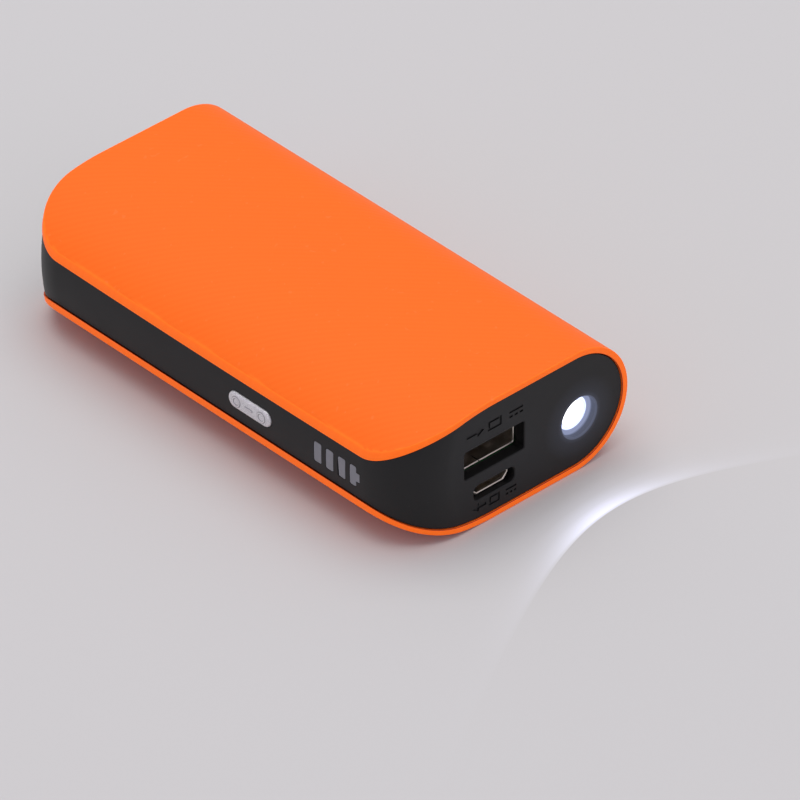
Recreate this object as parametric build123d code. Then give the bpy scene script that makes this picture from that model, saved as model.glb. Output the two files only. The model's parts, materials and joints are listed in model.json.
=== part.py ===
from build123d import *
import math
import os

# Pocket power bank with a torch. Two round cells and a circuit board sit in a black frame with a lid;
# an orange cover wraps over the top, round the closed side and under the bottom.
# Millimetres. +Z up, -Y the end with the ports, -X the side with the button and the charge windows.
# The origin is on the ground, in the middle of the outline.

# Cells: the standard round size, with the room kept round them
CELL_DIAMETER = 18.4
CELL_LENGTH = 65.0
CELL_CLEARANCE = 0.1
CELL_SPACING = 0.2
CELL_WRAP = 0.12
REAR_GAP = 0.9

# Bays beside and in front of the cells
SIDE_BAY = 7.2
BOARD_BAY = 22.5

# Walls and gaps
COVER_WALL = 1.1
COVER_GAP = 0.2
SKIN_WALL = 0.9
END_WALL = 1.8
FACE_SINK = 0.25
LID_LEDGE = 0.6
LID_GAP = 0.1
LID_SPLIT = 4.0

# Outline of the case
TIP = 2.45
TAPER_LENGTH = 22.0
BARREL_RADIUS = 34.6
CORNER_RADIUS = 10.3
BAND_BOW = 0.1

# Snap ribs that hold the cover on
RIB_INSET = 7.0
RIB_WIDTH = 0.8
RIB_DEPTH = 0.5
RIB_END = 12.0

# Ports, measured from the button side and from the middle plane
PORT_X = 19.7
USB_A_RISE = 1.05
USB_A_OPENING = (12.8, 5.3)
USB_A_SHELL = (12.7, 5.2)
USB_A_ROUND = 0.4
USB_A_LENGTH = 14.0
USB_A_RECESS = 2.2
USB_A_METAL = 0.25
MICRO_DROP = 5.3
MICRO_OPENING = (8.7, 2.8)
MICRO_ROUND = 0.9
MICRO_TOP = 7.9
MICRO_BOTTOM = 6.2
MICRO_HEIGHT = 2.5
MICRO_LENGTH = 5.4
MICRO_RECESS = 1.1
MICRO_METAL = 0.25
PORT_LIP = 0.15
COLLAR_WALL = 0.7
COLLAR_GAP = 0.1
MARK_DEPTH = 0.18

# Torch, measured from the centre of the round side and from the middle plane
TORCH_OFFSET = 1.2
TORCH_DROP = 1.5
TORCH_MOUTH = 7.3
TORCH_LIP = 0.2
TORCH_RECESS = 1.45
TORCH_LENS = 5.9
TORCH_LENS_THICK = 1.1
TORCH_SOCKET_WALL = 1.5
LED_DIAMETER = 5.0
LED_FLANGE = 5.8
LED_LENGTH = 7.6
LED_FLANGE_THICK = 1.0
LED_GAP = 0.25
LED_LEG_PITCH = 2.54
LED_LEG = 0.5
LENS_CLEARANCE = 0.05

# Charge windows, measured from the port end
WINDOW_FIRST = 20.02
WINDOW_PITCH = 2.74
WINDOW_COUNT = 4
WINDOW_WIDTH = 1.65
WINDOW_TIP_WIDTH = 1.4
WINDOW_HEIGHT = 3.75
WINDOW_DROP = 0.17
WINDOW_NUB = (0.8, 1.6)
WINDOW_ROUND = 0.35
GUIDE_CLEARANCE = 0.07
GUIDE_THICK = 0.6
GUIDE_GAP = 0.15

# Button, measured from the port end
BUTTON_AT = 35.6
BUTTON_LENGTH = 9.8
BUTTON_HEIGHT = 3.0
BUTTON_PROUD = 0.35
BUTTON_TRAVEL = 0.25
BUTTON_CLEARANCE = 0.1
BUTTON_FLANGE = 0.8
FLANGE_OVERLAP = 0.8
FLANGE_SEAT = 0.1
FLANGE_GAP = 0.1
PIP_RISE = 0.1
PUSHER_LENGTH = 0.3

# Push switch
SWITCH_WIDTH = 5.0
SWITCH_DEPTH = 3.5
SWITCH_HEIGHT = 3.6
SWITCH_WALL = 0.6
STEM_DIAMETER = 1.8
STEM_OUT = 0.9
STEM_IN = 0.9
DOME_GAP = 0.05
DOME_RISE = 0.55
DOME_FOOT = 1.15
STEM_CLEARANCE = 0.05

# Circuit board
BOARD_THICK = 1.6
BOARD_MARGIN = 0.5
BOARD_SIDE_GAP = 1.3
BOARD_CELL_GAP = 2.4
ARM_CELL_GAP = 0.8
ARM_PAST_BUTTON = 7.0

# Lid screws
BOSS_RADIUS = 2.1
PILOT_RADIUS = 0.72
SHANK_RADIUS = 0.7
LID_HOLE_RADIUS = 0.9
HEAD_RADIUS = 1.4
HEAD_HEIGHT = 0.7
HEAD_CLEARANCE = 0.2
PAD_THICK = 0.6
SCREW_BITE = 4.5
SHOULDER_RADIUS = 2.9

# Battery leads
LEAD_DIAMETER = 1.3
LEAD_BEND = 1.7
STRIP_WIDTH = 7.0
STRIP_THICK = 0.15

# Places that follow from the sizes above
HEIGHT = CELL_DIAMETER + 2 * (CELL_CLEARANCE + SKIN_WALL + COVER_GAP + COVER_WALL)
FRAME_INSET = COVER_WALL + COVER_GAP
ROOM_INSET = FRAME_INSET + SKIN_WALL
WIDTH = END_WALL + SIDE_BAY + 2 * CELL_DIAMETER + CELL_SPACING + CELL_CLEARANCE + ROOM_INSET
LENGTH = 2 * END_WALL + REAR_GAP + CELL_LENGTH + BOARD_BAY
MID = HEIGHT / 2
SPINE_X = (WIDTH - FACE_SINK + BUTTON_PROUD + PIP_RISE) / 2
BAND_X = SPINE_X - WIDTH
FACE_X = BAND_X + FACE_SINK
ROUND_X = SPINE_X - HEIGHT / 2
TAPER_X = BAND_X - TIP + TAPER_LENGTH
FRONT_Y = -LENGTH / 2
BACK_Y = LENGTH / 2
FACE_Y = FRONT_Y + FACE_SINK
SHELL_FRONT = FACE_Y + USB_A_RECESS
COLLAR_END = SHELL_FRONT - COLLAR_GAP
WALL_X = BAND_X + END_WALL
WALL_Y = FRONT_Y + END_WALL
CELL_RADIUS = CELL_DIAMETER / 2
CELL_X = (ROUND_X, ROUND_X - CELL_DIAMETER - CELL_SPACING)
CELL_REAR = BACK_Y - END_WALL - REAR_GAP
CELL_FRONT = CELL_REAR - CELL_LENGTH
VALLEY_X = sum(CELL_X) / 2
USB_X = BAND_X + PORT_X
USB_A_Z = MID + USB_A_RISE
MICRO_Z = MID - MICRO_DROP
TORCH_X = ROUND_X + TORCH_OFFSET
TORCH_Z = MID - TORCH_DROP
BUTTON_Y = FRONT_Y + BUTTON_AT
WINDOW_Z = MID - WINDOW_DROP
BOARD_TOP = min(USB_A_Z - USB_A_SHELL[1] / 2, TORCH_Z - LED_LEG / 2) - 0.1
BOARD_BOTTOM = BOARD_TOP - BOARD_THICK
BOARD_LEFT = WALL_X + BOARD_SIDE_GAP
BOARD_REAR = CELL_FRONT - BOARD_CELL_GAP
BOARD_RIGHT = ROUND_X + 6.5
ARM_RIGHT = CELL_X[1] - CELL_RADIUS - ARM_CELL_GAP
ARM_REAR = BUTTON_Y + ARM_PAST_BUTTON
FLANGE_X = WALL_X - FLANGE_SEAT + FLANGE_GAP
SWITCH_X = FLANGE_X + BUTTON_FLANGE + PUSHER_LENGTH + STEM_OUT
GUIDE_X = WALL_X + GUIDE_GAP
LENS_BACK = FACE_Y + TORCH_RECESS + TORCH_LENS_THICK
TORCH_BOSS_END = LENS_BACK + LED_GAP + LED_LENGTH - LED_FLANGE_THICK
SIDE_POST_X = (WALL_X + CELL_X[1] - CELL_RADIUS) / 2
POSTS = [
    (SIDE_POST_X, CELL_REAR - 7.0),
    (SIDE_POST_X, ARM_REAR + 8.0),
    (SIDE_POST_X + 0.9, FRONT_Y + 8.0),
    (USB_X + 10.4, FRONT_Y + 8.5),
]


# Shapes that many pieces share


def block(x, y, z):
    """Box between three (low, high) pairs."""
    spans = (x, y, z)
    centre = [(low + high) / 2 for low, high in spans]
    sides = [high - low for low, high in spans]
    return Pos(*centre) * Box(*sides)


def bar_x(radius, x, y, z):
    """Round bar along X, between the two values of x."""
    return Pos((x[0] + x[1]) / 2, y, z) * Rot(0, 90, 0) * Cylinder(radius, x[1] - x[0])


def bar_y(radius, x, y, z):
    """Round bar along Y, between the two values of y."""
    return Pos(x, (y[0] + y[1]) / 2, z) * Rot(90, 0, 0) * Cylinder(radius, y[1] - y[0])


def bar_z(radius, x, y, z):
    """Round bar along Z, between the two values of z."""
    return Pos(x, y, (z[0] + z[1]) / 2) * Cylinder(radius, z[1] - z[0])


def plate_x(sketch, x, y, z):
    """Flat shape drawn in Y and Z about (y, z), as thick as the two values of x."""
    return extrude(Plane.YZ.offset(x[0]) * Pos(y, z) * sketch, x[1] - x[0])


def plate_y(sketch, x, y, z):
    """Flat shape drawn in X and Z about (x, z), as thick as the two values of y."""
    return extrude(Plane.XZ.offset(-y[1]) * Pos(x, z) * sketch, y[1] - y[0])


def outline(inset):
    """The case's end profile, pulled in by inset: flat faces, a half-round side and a tapered side."""
    half = HEIGHT / 2 - inset
    crown = Line((TAPER_X, MID + half), (ROUND_X, MID + half))
    spine = ThreePointArc((ROUND_X, MID + half), (ROUND_X + half, MID), (ROUND_X, MID - half))
    keel = Line((ROUND_X, MID - half), (TAPER_X, MID - half))
    taper = EllipticalCenterArc((TAPER_X, MID), TAPER_LENGTH - inset, half, 270, arc_size=-180)
    return make_face(Wire([crown, spine, keel, taper]))


def prism(inset):
    """The end profile carried past both ends."""
    return extrude(Plane.XZ * outline(inset), LENGTH, both=True)


def envelope(inset):
    """What lies inside the flat ends, the round corners and the barrelled button side."""
    side = BAND_X + inset
    reach = LENGTH / 2 - inset
    corner = CORNER_RADIUS - inset
    bowed = side + BAND_BOW
    slant = corner * (1 - math.sqrt(0.5))
    axis_x = BAND_X + BARREL_RADIUS
    front = Line((axis_x, -reach), (bowed + corner, -reach))
    near = ThreePointArc(
        (bowed + corner, -reach), (bowed + slant, slant - reach), (bowed, corner - reach)
    )
    band = ThreePointArc((bowed, corner - reach), (side, 0), (bowed, reach - corner))
    far = ThreePointArc(
        (bowed, reach - corner), (bowed + slant, reach - slant), (bowed + corner, reach)
    )
    back = Line((bowed + corner, reach), (axis_x, reach))
    close = Line((axis_x, reach), (axis_x, -reach))
    half_plan = Pos(0, 0, MID) * make_face(Wire([front, near, band, far, back, close]))
    turning_axis = Axis((axis_x, 0, MID), (0, 1, 0))
    return revolve(half_plan.rotate(turning_axis, 90), turning_axis)


def body(profile_inset, end_inset):
    """A closed shape with the case's form, pulled in from the profile and from the ends."""
    return prism(profile_inset) & envelope(end_inset)


def skin_rise(x, inset):
    """Height of the pulled-in profile above the middle plane, at x."""
    half = HEIGHT / 2 - inset
    share = max(0.0, TAPER_X - x) / (TAPER_LENGTH - inset)
    return half * math.sqrt(1 - share**2)


def rib_band(outer_inset, inner_inset, spare):
    """A strip along each edge of the cover's opening, between two profiles."""
    centre = BAND_X + RIB_INSET
    across = RIB_WIDTH / 2 + spare
    along = LENGTH / 2 - RIB_END + spare
    ring = prism(outer_inset) - prism(inner_inset)
    return ring & block((centre - across, centre + across), (-along, along), (-1, HEIGHT + 1))


# Case


def wrap_cover():
    """The one-piece orange cover, with a snap rib inside each free edge."""
    shell = body(0, 0) - prism(COVER_WALL)
    return shell + rib_band(COVER_WALL - 0.2, COVER_WALL + RIB_DEPTH, 0)


def seat(x):
    """Height of a screw boss under the lid at x, low enough to sink the screw's head below the skin."""
    top = MID + skin_rise(x - HEAD_RADIUS - HEAD_CLEARANCE, FRAME_INSET)
    return top - HEAD_HEIGHT - PAD_THICK - 3 * LID_GAP


def lid_room(gap):
    """The space that the lid fills, grown by gap."""
    above = block((-WIDTH, WIDTH), (-LENGTH, LENGTH), (MID + LID_SPLIT - gap, 2 * HEIGHT))
    return prism(0) & envelope(END_WALL + LID_LEDGE - gap) & above


def torch_socket():
    """Tube behind the end wall that holds the torch's lens and lamp."""
    radius = TORCH_LENS / 2 + LENS_CLEARANCE + TORCH_SOCKET_WALL
    return bar_y(radius, TORCH_X, (FRONT_Y + 0.5, TORCH_BOSS_END), TORCH_Z)


def torch_bores():
    """Mouth, lens pocket and lamp bore, one behind the other."""
    mouth = bar_y(TORCH_MOUTH / 2, TORCH_X, (FRONT_Y - 1, FACE_Y + TORCH_RECESS), TORCH_Z)
    lip = bar_y(TORCH_MOUTH / 2 + TORCH_LIP, TORCH_X, (FRONT_Y - 1, FACE_Y + TORCH_LIP), TORCH_Z)
    lip = chamfer(lip.edges().group_by(Axis.Y)[-1], TORCH_LIP)
    pocket = bar_y(
        TORCH_LENS / 2 + LENS_CLEARANCE, TORCH_X, (FRONT_Y, LENS_BACK + LENS_CLEARANCE), TORCH_Z
    )
    lamp = bar_y(
        LED_DIAMETER / 2 + LENS_CLEARANCE, TORCH_X, (FRONT_Y, TORCH_BOSS_END + 1), TORCH_Z
    )
    return lip + mouth + pocket + lamp


def usb_a_collar(spare):
    """Short sleeve behind the end wall that leads up to the large connector's shell."""
    wide, tall = (side + 2 * (COLLAR_WALL + spare) for side in USB_A_OPENING)
    return plate_y(RectangleRounded(wide, tall, 0.8), USB_X, (WALL_Y - 0.5, COLLAR_END + spare), USB_A_Z)


def port_opening(size, corner, z):
    """Hole through the end wall for one connector, with a small lead-in round its mouth."""
    hole = plate_y(RectangleRounded(*size, corner), USB_X, (FRONT_Y - 1, COLLAR_END + 0.5), z)
    wide, tall = (side + 2 * PORT_LIP for side in size)
    mouth = RectangleRounded(wide, tall, corner + PORT_LIP)
    lip = plate_y(mouth, USB_X, (FRONT_Y - 1, FACE_Y + PORT_LIP), z)
    return hole + chamfer(lip.edges().group_by(Axis.Y)[-1], PORT_LIP)


def port_openings():
    """Both connectors' holes."""
    usb_a = port_opening(USB_A_OPENING, USB_A_ROUND, USB_A_Z)
    return usb_a + port_opening(MICRO_OPENING, MICRO_ROUND, MICRO_Z)


def arrow(width, height):
    """An arrow with a short shaft, pointing along +X."""
    tip = width / 2
    root = tip - height * 0.8
    head = Polygon((root, -height / 2), (tip, 0), (root, height / 2), align=None)
    shaft = width - height * 0.8 + 0.05
    return head + Pos(shaft / 2 - tip, 0) * Rectangle(shaft, height / 3)


def port_marks(length, height, outward):
    """An arrow, a port outline and the sign for direct current, in a row of the given length."""
    turn = 0 if outward else 180
    stroke = height / 4.5
    wide = length * 0.24
    plug = Rectangle(wide, height) - Rectangle(wide - 2 * stroke, height - 2 * stroke)
    line = Pos(0, height / 4) * Rectangle(wide, stroke)
    step = wide / 3 + stroke / 3
    dash = Rectangle(wide - 2 * step, stroke)
    dashes = [Pos(shift * step, -height / 4) * dash for shift in (-1, 0, 1)]
    row = Pos(-length / 2 + wide * 0.65, 0) * Rot(0, 0, turn) * arrow(wide * 1.3, height)
    row += plug
    row += Pos(length / 2 - wide / 2, 0) * (Sketch() + [line] + dashes)
    return row


def marks():
    """Shallow marks that say which port gives and which takes."""
    depth = (FRONT_Y - 1, FACE_Y + MARK_DEPTH)
    out_mark = plate_y(port_marks(12.0, 1.8, True), USB_X, depth, MID + 6.5)
    in_mark = plate_y(port_marks(9.4, 1.7, False), USB_X, depth, MID - 8.1)
    return out_mark + in_mark


def window_shape(index, spare):
    """One charge window; the last is narrower and has a battery's tip."""
    if index < WINDOW_COUNT - 1:
        return RectangleRounded(WINDOW_WIDTH + 2 * spare, WINDOW_HEIGHT + 2 * spare, WINDOW_ROUND)
    shift = (WINDOW_WIDTH - WINDOW_TIP_WIDTH) / 2
    main = RectangleRounded(WINDOW_TIP_WIDTH + 2 * spare, WINDOW_HEIGHT + 2 * spare, WINDOW_ROUND)
    nub = Rectangle(2 * WINDOW_NUB[0] + 2 * spare, WINDOW_NUB[1] + 2 * spare)
    return Pos(shift, 0) * main + Pos(shift - WINDOW_TIP_WIDTH / 2, 0) * nub


def windows(x, spare):
    """All the charge windows in a row, towards the port end."""
    first = FRONT_Y + WINDOW_FIRST
    return [
        plate_x(window_shape(i, spare), x, first - i * WINDOW_PITCH, WINDOW_Z)
        for i in range(WINDOW_COUNT)
    ]


def button_opening():
    """Hole for the button, with a flat seat for its flange on the inside."""
    spare = 2 * BUTTON_CLEARANCE
    hole = plate_x(
        SlotOverall(BUTTON_LENGTH + spare, BUTTON_HEIGHT + spare),
        (BAND_X - 1, WALL_X + 1),
        BUTTON_Y,
        MID,
    )
    flange = SlotOverall(
        BUTTON_LENGTH + 2 * FLANGE_OVERLAP + 2 * spare, BUTTON_HEIGHT + 2 * FLANGE_OVERLAP + 2 * spare
    )
    return hole + plate_x(flange, (WALL_X - FLANGE_SEAT, WALL_X + 1), BUTTON_Y, MID)


def post(x, y):
    """Screw boss with a shoulder that carries the circuit board's height."""
    boss = bar_z(BOSS_RADIUS, x, y, (0, seat(x)))
    return boss + bar_z(SHOULDER_RADIUS, x, y, (0, BOARD_BOTTOM))


def pilot(x, y):
    """Hole that the lid screw cuts its thread in."""
    return bar_z(PILOT_RADIUS, x, y, (seat(x) - SCREW_BITE - 0.5, HEIGHT))


def inner_frame():
    """The black frame: end walls, button side, floor, screw bosses and the torch's socket."""
    outside = body(FRAME_INSET, FACE_SINK)
    shell = outside - body(ROOM_INSET, END_WALL) - lid_room(LID_GAP)
    inner = torch_socket() + usb_a_collar(0) + [post(x, y) for x, y in POSTS]
    inner += [bar_z(1.2, x, y, (0, BOARD_BOTTOM)) for x, y in board_rests()]
    frame = shell + (outside & inner)
    frame -= torch_bores() + port_openings()
    frame -= [pilot(x, y) for x, y in POSTS]
    frame -= windows((BAND_X - 1, WALL_X + 1), GUIDE_CLEARANCE)
    frame -= button_opening()
    frame -= marks()
    return frame - rib_band(COVER_GAP, COVER_WALL + RIB_DEPTH + COVER_GAP, COVER_GAP)


def inner_lid():
    """The black lid under the cover, with a sunk seat for each screw."""
    plate = (body(FRAME_INSET, 0) & lid_room(0)) - prism(ROOM_INSET)
    skin = body(FRAME_INSET, 0) & lid_room(0)
    pads = [bar_z(BOSS_RADIUS, x, y, (seat(x) + LID_GAP, HEIGHT)) for x, y in POSTS]
    lid = plate + (skin & (Part() + pads))
    for x, y in POSTS:
        floor = seat(x) + LID_GAP + PAD_THICK
        lid -= bar_z(LID_HOLE_RADIUS, x, y, (0, HEIGHT))
        lid -= bar_z(HEAD_RADIUS + HEAD_CLEARANCE, x, y, (floor, HEIGHT))
    return lid - rib_band(COVER_GAP, COVER_WALL + RIB_DEPTH + COVER_GAP, COVER_GAP)


def lid_screw(x, y):
    """Small pan-head screw with a cross recess."""
    under = seat(x) + LID_GAP + PAD_THICK
    head = bar_z(HEAD_RADIUS, x, y, (under, under + HEAD_HEIGHT))
    head = fillet(head.edges().group_by(Axis.Z)[-1], HEAD_HEIGHT / 2)
    shank = bar_z(SHANK_RADIUS, x, y, (seat(x) - SCREW_BITE, under))
    cross = Box(1.6, 0.35, 1.0) + Box(0.35, 1.6, 1.0)
    return head + shank - Pos(x, y, under + HEAD_HEIGHT + 0.1) * cross


def lid_screws():
    """The lid's screws, one in each boss."""
    return [lid_screw(x, y) for x, y in POSTS]


# Cells


def cell_can(x):
    """Steel can with its crimped groove and a raised bottom."""
    radius = CELL_RADIUS - CELL_WRAP
    rear = CELL_REAR - CELL_WRAP
    front = CELL_FRONT + 0.8
    can = bar_y(radius, x, (front, rear), MID)
    can = fillet(can.edges().filter_by(GeomType.CIRCLE), 0.5)
    groove = bar_y(radius + 1, x, (front + 2.6, front + 3.6), MID)
    groove -= bar_y(radius - 0.6, x, (front, rear), MID)
    return can - groove + bar_y(radius - 1.3, x, (rear - 1, CELL_REAR), MID)


def cell_sleeve(x):
    """Shrink wrap round the can, with a lip turned over each end."""
    radius = CELL_RADIUS - CELL_WRAP
    rear = CELL_REAR - CELL_WRAP
    front = CELL_FRONT + 0.8
    tube = bar_y(CELL_RADIUS, x, (front - 0.4, CELL_REAR), MID)
    tube -= bar_y(radius, x, (front - 0.4 + CELL_WRAP, rear), MID)
    return tube - bar_y(radius - 1.2, x, (CELL_FRONT, CELL_REAR + 1), MID)


def cell_ring(x):
    """Card ring that keeps the can's rim apart from the positive cap."""
    front = CELL_FRONT + 0.8
    ring = bar_y(CELL_RADIUS - CELL_WRAP - 0.2, x, (front - 0.26, front), MID)
    return ring - bar_y(3.9, x, (front - 1, front + 1), MID)


def cell_cap(x):
    """Positive cap, with its raised button."""
    front = CELL_FRONT + 0.8
    cap = bar_y(3.0, x, (CELL_FRONT, front), MID)
    return fillet(cap.edges().group_by(Axis.Y)[0], 0.35)


def strip_front():
    """Nickel strip across the two positive caps, with a tab for its lead."""
    span = (CELL_X[1] - 4, CELL_X[0] + 4)
    depth = (CELL_FRONT - STRIP_THICK, CELL_FRONT)
    strip = block(span, depth, (MID - 2.5, MID + 2.5))
    strip += block((VALLEY_X - 5.5, VALLEY_X - 1.5), depth, (MID, MID + 5.5))
    return fillet(strip.edges().filter_by(Axis.Y), 0.5)


def strip_rear():
    """Nickel strip across the two can bottoms, with a tab for its lead."""
    span = (CELL_X[1] - 5, CELL_X[0] + 5)
    depth = (CELL_REAR, CELL_REAR + STRIP_THICK)
    strip = block(span, depth, (MID - STRIP_WIDTH / 2, MID + STRIP_WIDTH / 2))
    strip += block((VALLEY_X - 2.5, VALLEY_X + 2.5), depth, (MID, MID + 8.5))
    return fillet(strip.edges().filter_by(Axis.Y), 0.6)


def lead(points):
    """Round insulated wire along straight runs joined by arcs; prints its volume against its length."""
    path = FilletPolyline(*points, radius=LEAD_BEND)
    start = Plane(origin=path @ 0, z_dir=path % 0)
    wire = sweep(start * Circle(LEAD_DIAMETER / 2), path)
    full = math.pi * (LEAD_DIAMETER / 2) ** 2 * path.length
    print(f"lead volume / (section x length): {wire.volume / full:.3f}")
    return wire


def lead_positive():
    """Lead from the front strip down to the board."""
    x = VALLEY_X - 3.5
    y = BOARD_REAR - 1.6
    z = MID + 4.2
    return lead([(x, CELL_FRONT - STRIP_THICK, z), (x, y, z), (x, y, BOARD_TOP)])


def lead_negative():
    """Lead from the rear strip, along the groove between the cells, down to the board."""
    y = BOARD_REAR - 1.6
    z = MID + 7.6
    return lead([(VALLEY_X, CELL_REAR, z), (VALLEY_X, y, z), (VALLEY_X, y, BOARD_TOP)])


def foam_strip():
    """Soft strip in the groove under the cells."""
    low = MID - HEIGHT / 2 + ROOM_INSET
    return block((VALLEY_X - 2, VALLEY_X + 2), (CELL_FRONT + 8, CELL_REAR - 8), (low, low + 2.2))


def foam_pad_rear():
    """Soft pad between the rear strip and the back wall."""
    depth = (CELL_REAR + STRIP_THICK + 0.02, BACK_Y - END_WALL)
    return block((CELL_X[1], CELL_X[0]), depth, (MID - 4, MID + 4))


def insulator_card():
    """Card between the cells and the board, with holes for the leads."""
    y = (CELL_FRONT - 1.1, CELL_FRONT - 0.85)
    left = CELL_X[1] - CELL_RADIUS + 0.2
    card = block((left, SPINE_X), y, (0, HEIGHT)) & prism(ROOM_INSET + 0.1)
    for x, z in ((VALLEY_X - 3.5, MID + 4.2), (VALLEY_X, MID + 7.6)):
        card -= bar_y(LEAD_DIAMETER / 2 + 0.3, x, (y[0] - 1, y[1] + 1), z)
    return card


# Circuit board


def board_rests():
    """Places of the plain posts under the board."""
    return [
        (SIDE_POST_X + 0.6, ARM_REAR - 2.0),
        (USB_X - 9.4, BOARD_REAR - 3.0),
        (BOARD_RIGHT - 3.0, BOARD_REAR - 3.0),
    ]


def main_board():
    """L-shaped board: ports at the end, button and charge lamps along the side arm."""
    z = (BOARD_BOTTOM, BOARD_TOP)
    main = block((BOARD_LEFT, BOARD_RIGHT), (FRONT_Y, BOARD_REAR), z)
    arm = block((BOARD_LEFT, ARM_RIGHT), (FRONT_Y, ARM_REAR), z)
    board = (main + arm) & envelope(END_WALL + BOARD_MARGIN)
    torch_side = TORCH_X - TORCH_LENS / 2 - LENS_CLEARANCE - TORCH_SOCKET_WALL - 0.3
    board -= block((torch_side, SPINE_X), (FRONT_Y, TORCH_BOSS_END + LED_FLANGE / 2 - 0.4), (0, HEIGHT))
    board -= [bar_z(BOSS_RADIUS + 0.2, x, y, (0, HEIGHT)) for x, y in POSTS]
    return board - shell_tabs(0.1) - usb_a_collar(0.15)


def shell_tabs(spare):
    """Four legs of the large connector's shell that go through the board."""
    half = USB_A_SHELL[0] / 2
    rear = SHELL_FRONT + USB_A_LENGTH
    tabs = []
    for x in (USB_X - half, USB_X + half - USB_A_METAL):
        for y in (rear - 10.5, rear - 4.5):
            tabs.append(
                block(
                    (x - spare, x + USB_A_METAL + spare),
                    (y - spare, y + 2.2 + spare),
                    (BOARD_BOTTOM - 0.5, USB_A_Z - USB_A_SHELL[1] / 2 + 0.8),
                )
            )
    return tabs


def usb_a_shell():
    """Folded steel shell of the large connector, with spring fingers top and bottom."""
    front = SHELL_FRONT
    span = (front, front + USB_A_LENGTH)
    wide, tall = USB_A_SHELL
    inner = (wide - 2 * USB_A_METAL, tall - 2 * USB_A_METAL)
    shell = plate_y(RectangleRounded(wide, tall, 0.6), USB_X, span, USB_A_Z)
    shell -= plate_y(RectangleRounded(*inner, 0.3), USB_X, (span[0] - 1, span[1] + 1), USB_A_Z)
    for x in (USB_X - 2.6, USB_X + 2.6):
        for side in (-1, 1):
            z = USB_A_Z + side * (tall - USB_A_METAL) / 2
            ring = Box(2.2, 6.0, 1.0) - Pos(0, 0.3, 0) * Box(1.7, 6.0, 2.0)
            shell -= Pos(x, front + 4.8, z) * ring
            bump = Pos(x, front + 2.5, z - side * 0.15) * Sphere(0.5)
            shell += bump & block((x - 1, x + 1), span, (USB_A_Z - tall / 2, USB_A_Z + tall / 2))
    shell -= block((USB_X - 1.35, USB_X - 1.25), (front - 1, front + 1.6), (0, USB_A_Z))
    return shell + shell_tabs(0)


def usb_a_tongue():
    """Plastic insert of the large connector: back block and thin tongue."""
    front = SHELL_FRONT
    inner = (USB_A_SHELL[0] - 2 * USB_A_METAL - 0.1, USB_A_SHELL[1] - 2 * USB_A_METAL - 0.1)
    back = (front + USB_A_LENGTH - 3.4, front + USB_A_LENGTH - 0.1)
    insert = plate_y(RectangleRounded(*inner, 0.25), USB_X, back, USB_A_Z)
    tongue = plate_y(RectangleRounded(11.1, 1.8, 0.25), USB_X, (front + 2.1, back[1]), USB_A_Z + 1.05)
    return insert + tongue


def usb_a_contacts():
    """Four plated springs under the tongue."""
    front = SHELL_FRONT
    top = USB_A_Z + 0.15
    spring = (front + 2.6, front + USB_A_LENGTH - 3.4)
    places = [USB_X + shift for shift in (-3.5, -1.0, 1.0, 3.5)]
    return [block((x - 0.5, x + 0.5), spring, (top - 0.22, top)) for x in places]


def micro_profile(pull):
    """Section of the small connector: wide above, narrow below, with slanted corners."""
    top = MICRO_TOP / 2 - pull
    low = MICRO_BOTTOM / 2 - pull
    half = MICRO_HEIGHT / 2 - pull
    shape = Polygon(
        (-top, half), (-top, 0), (-low, -half), (low, -half), (top, 0), (top, half), align=None
    )
    return fillet(shape.vertices(), 0.3)


def micro_usb_shell():
    """Folded steel shell of the small connector, with legs up to the board."""
    front = FACE_Y + MICRO_RECESS
    span = (front, front + MICRO_LENGTH)
    shell = plate_y(micro_profile(0), USB_X, span, MICRO_Z)
    shell -= plate_y(micro_profile(MICRO_METAL), USB_X, (span[0] - 1, span[1] - 0.3), MICRO_Z)
    roof = MICRO_Z + MICRO_HEIGHT / 2 - 0.1
    for x in (USB_X - MICRO_TOP / 2, USB_X + MICRO_TOP / 2 - 0.6):
        shell += block((x, x + 0.6), (span[1] - 2.4, span[1] - 0.6), (roof, BOARD_BOTTOM))
    return shell


def micro_usb_tongue():
    """Thin plastic tongue of the small connector."""
    front = FACE_Y + MICRO_RECESS
    depth = (front + 1.0, front + MICRO_LENGTH - 0.3)
    return block((USB_X - 1.85, USB_X + 1.85), depth, (MICRO_Z + 0.02, MICRO_Z + 0.6))


def micro_usb_contacts():
    """Five fine springs under the small tongue."""
    front = FACE_Y + MICRO_RECESS
    span = (front + 1.2, front + MICRO_LENGTH - 0.3)
    places = [USB_X + 0.65 * step for step in range(-2, 3)]
    return [block((x - 0.15, x + 0.15), span, (MICRO_Z - 0.13, MICRO_Z + 0.02)) for x in places]


def chip(x, y, wide, deep, tall):
    """Moulded chip on the board, with a row of bent legs on two sides."""
    z = (BOARD_TOP + 0.15, BOARD_TOP + tall)
    case = block((x - wide / 2, x + wide / 2), (y - deep / 2, y + deep / 2), z)
    case = chamfer(case.edges().filter_by(Axis.Z), 0.15)
    case -= bar_z(0.3, x - wide / 2 + 0.8, y - deep / 2 + 0.8, (BOARD_TOP + tall - 0.1, HEIGHT))
    legs = []
    for i in range(4):
        across = x + (i - 1.5) * 1.1
        for side in (-1, 1):
            near = y + side * deep / 2
            far = near + side * 0.9
            span = (across - 0.2, across + 0.2)
            legs.append(block(span, sorted((near, far)), (BOARD_TOP, BOARD_TOP + 0.3)))
    return case + legs


def boost_chip():
    """Chip that steps the cells' voltage up for the large port."""
    return chip(USB_X - 2.0, BOARD_REAR - 3.1, 4.9, 3.2, 1.5)


def charge_chip():
    """Chip that charges the cells from the small port."""
    return chip(USB_X - 9.6, BOARD_REAR - 8.8, 4.6, 3.2, 1.3)


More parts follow.
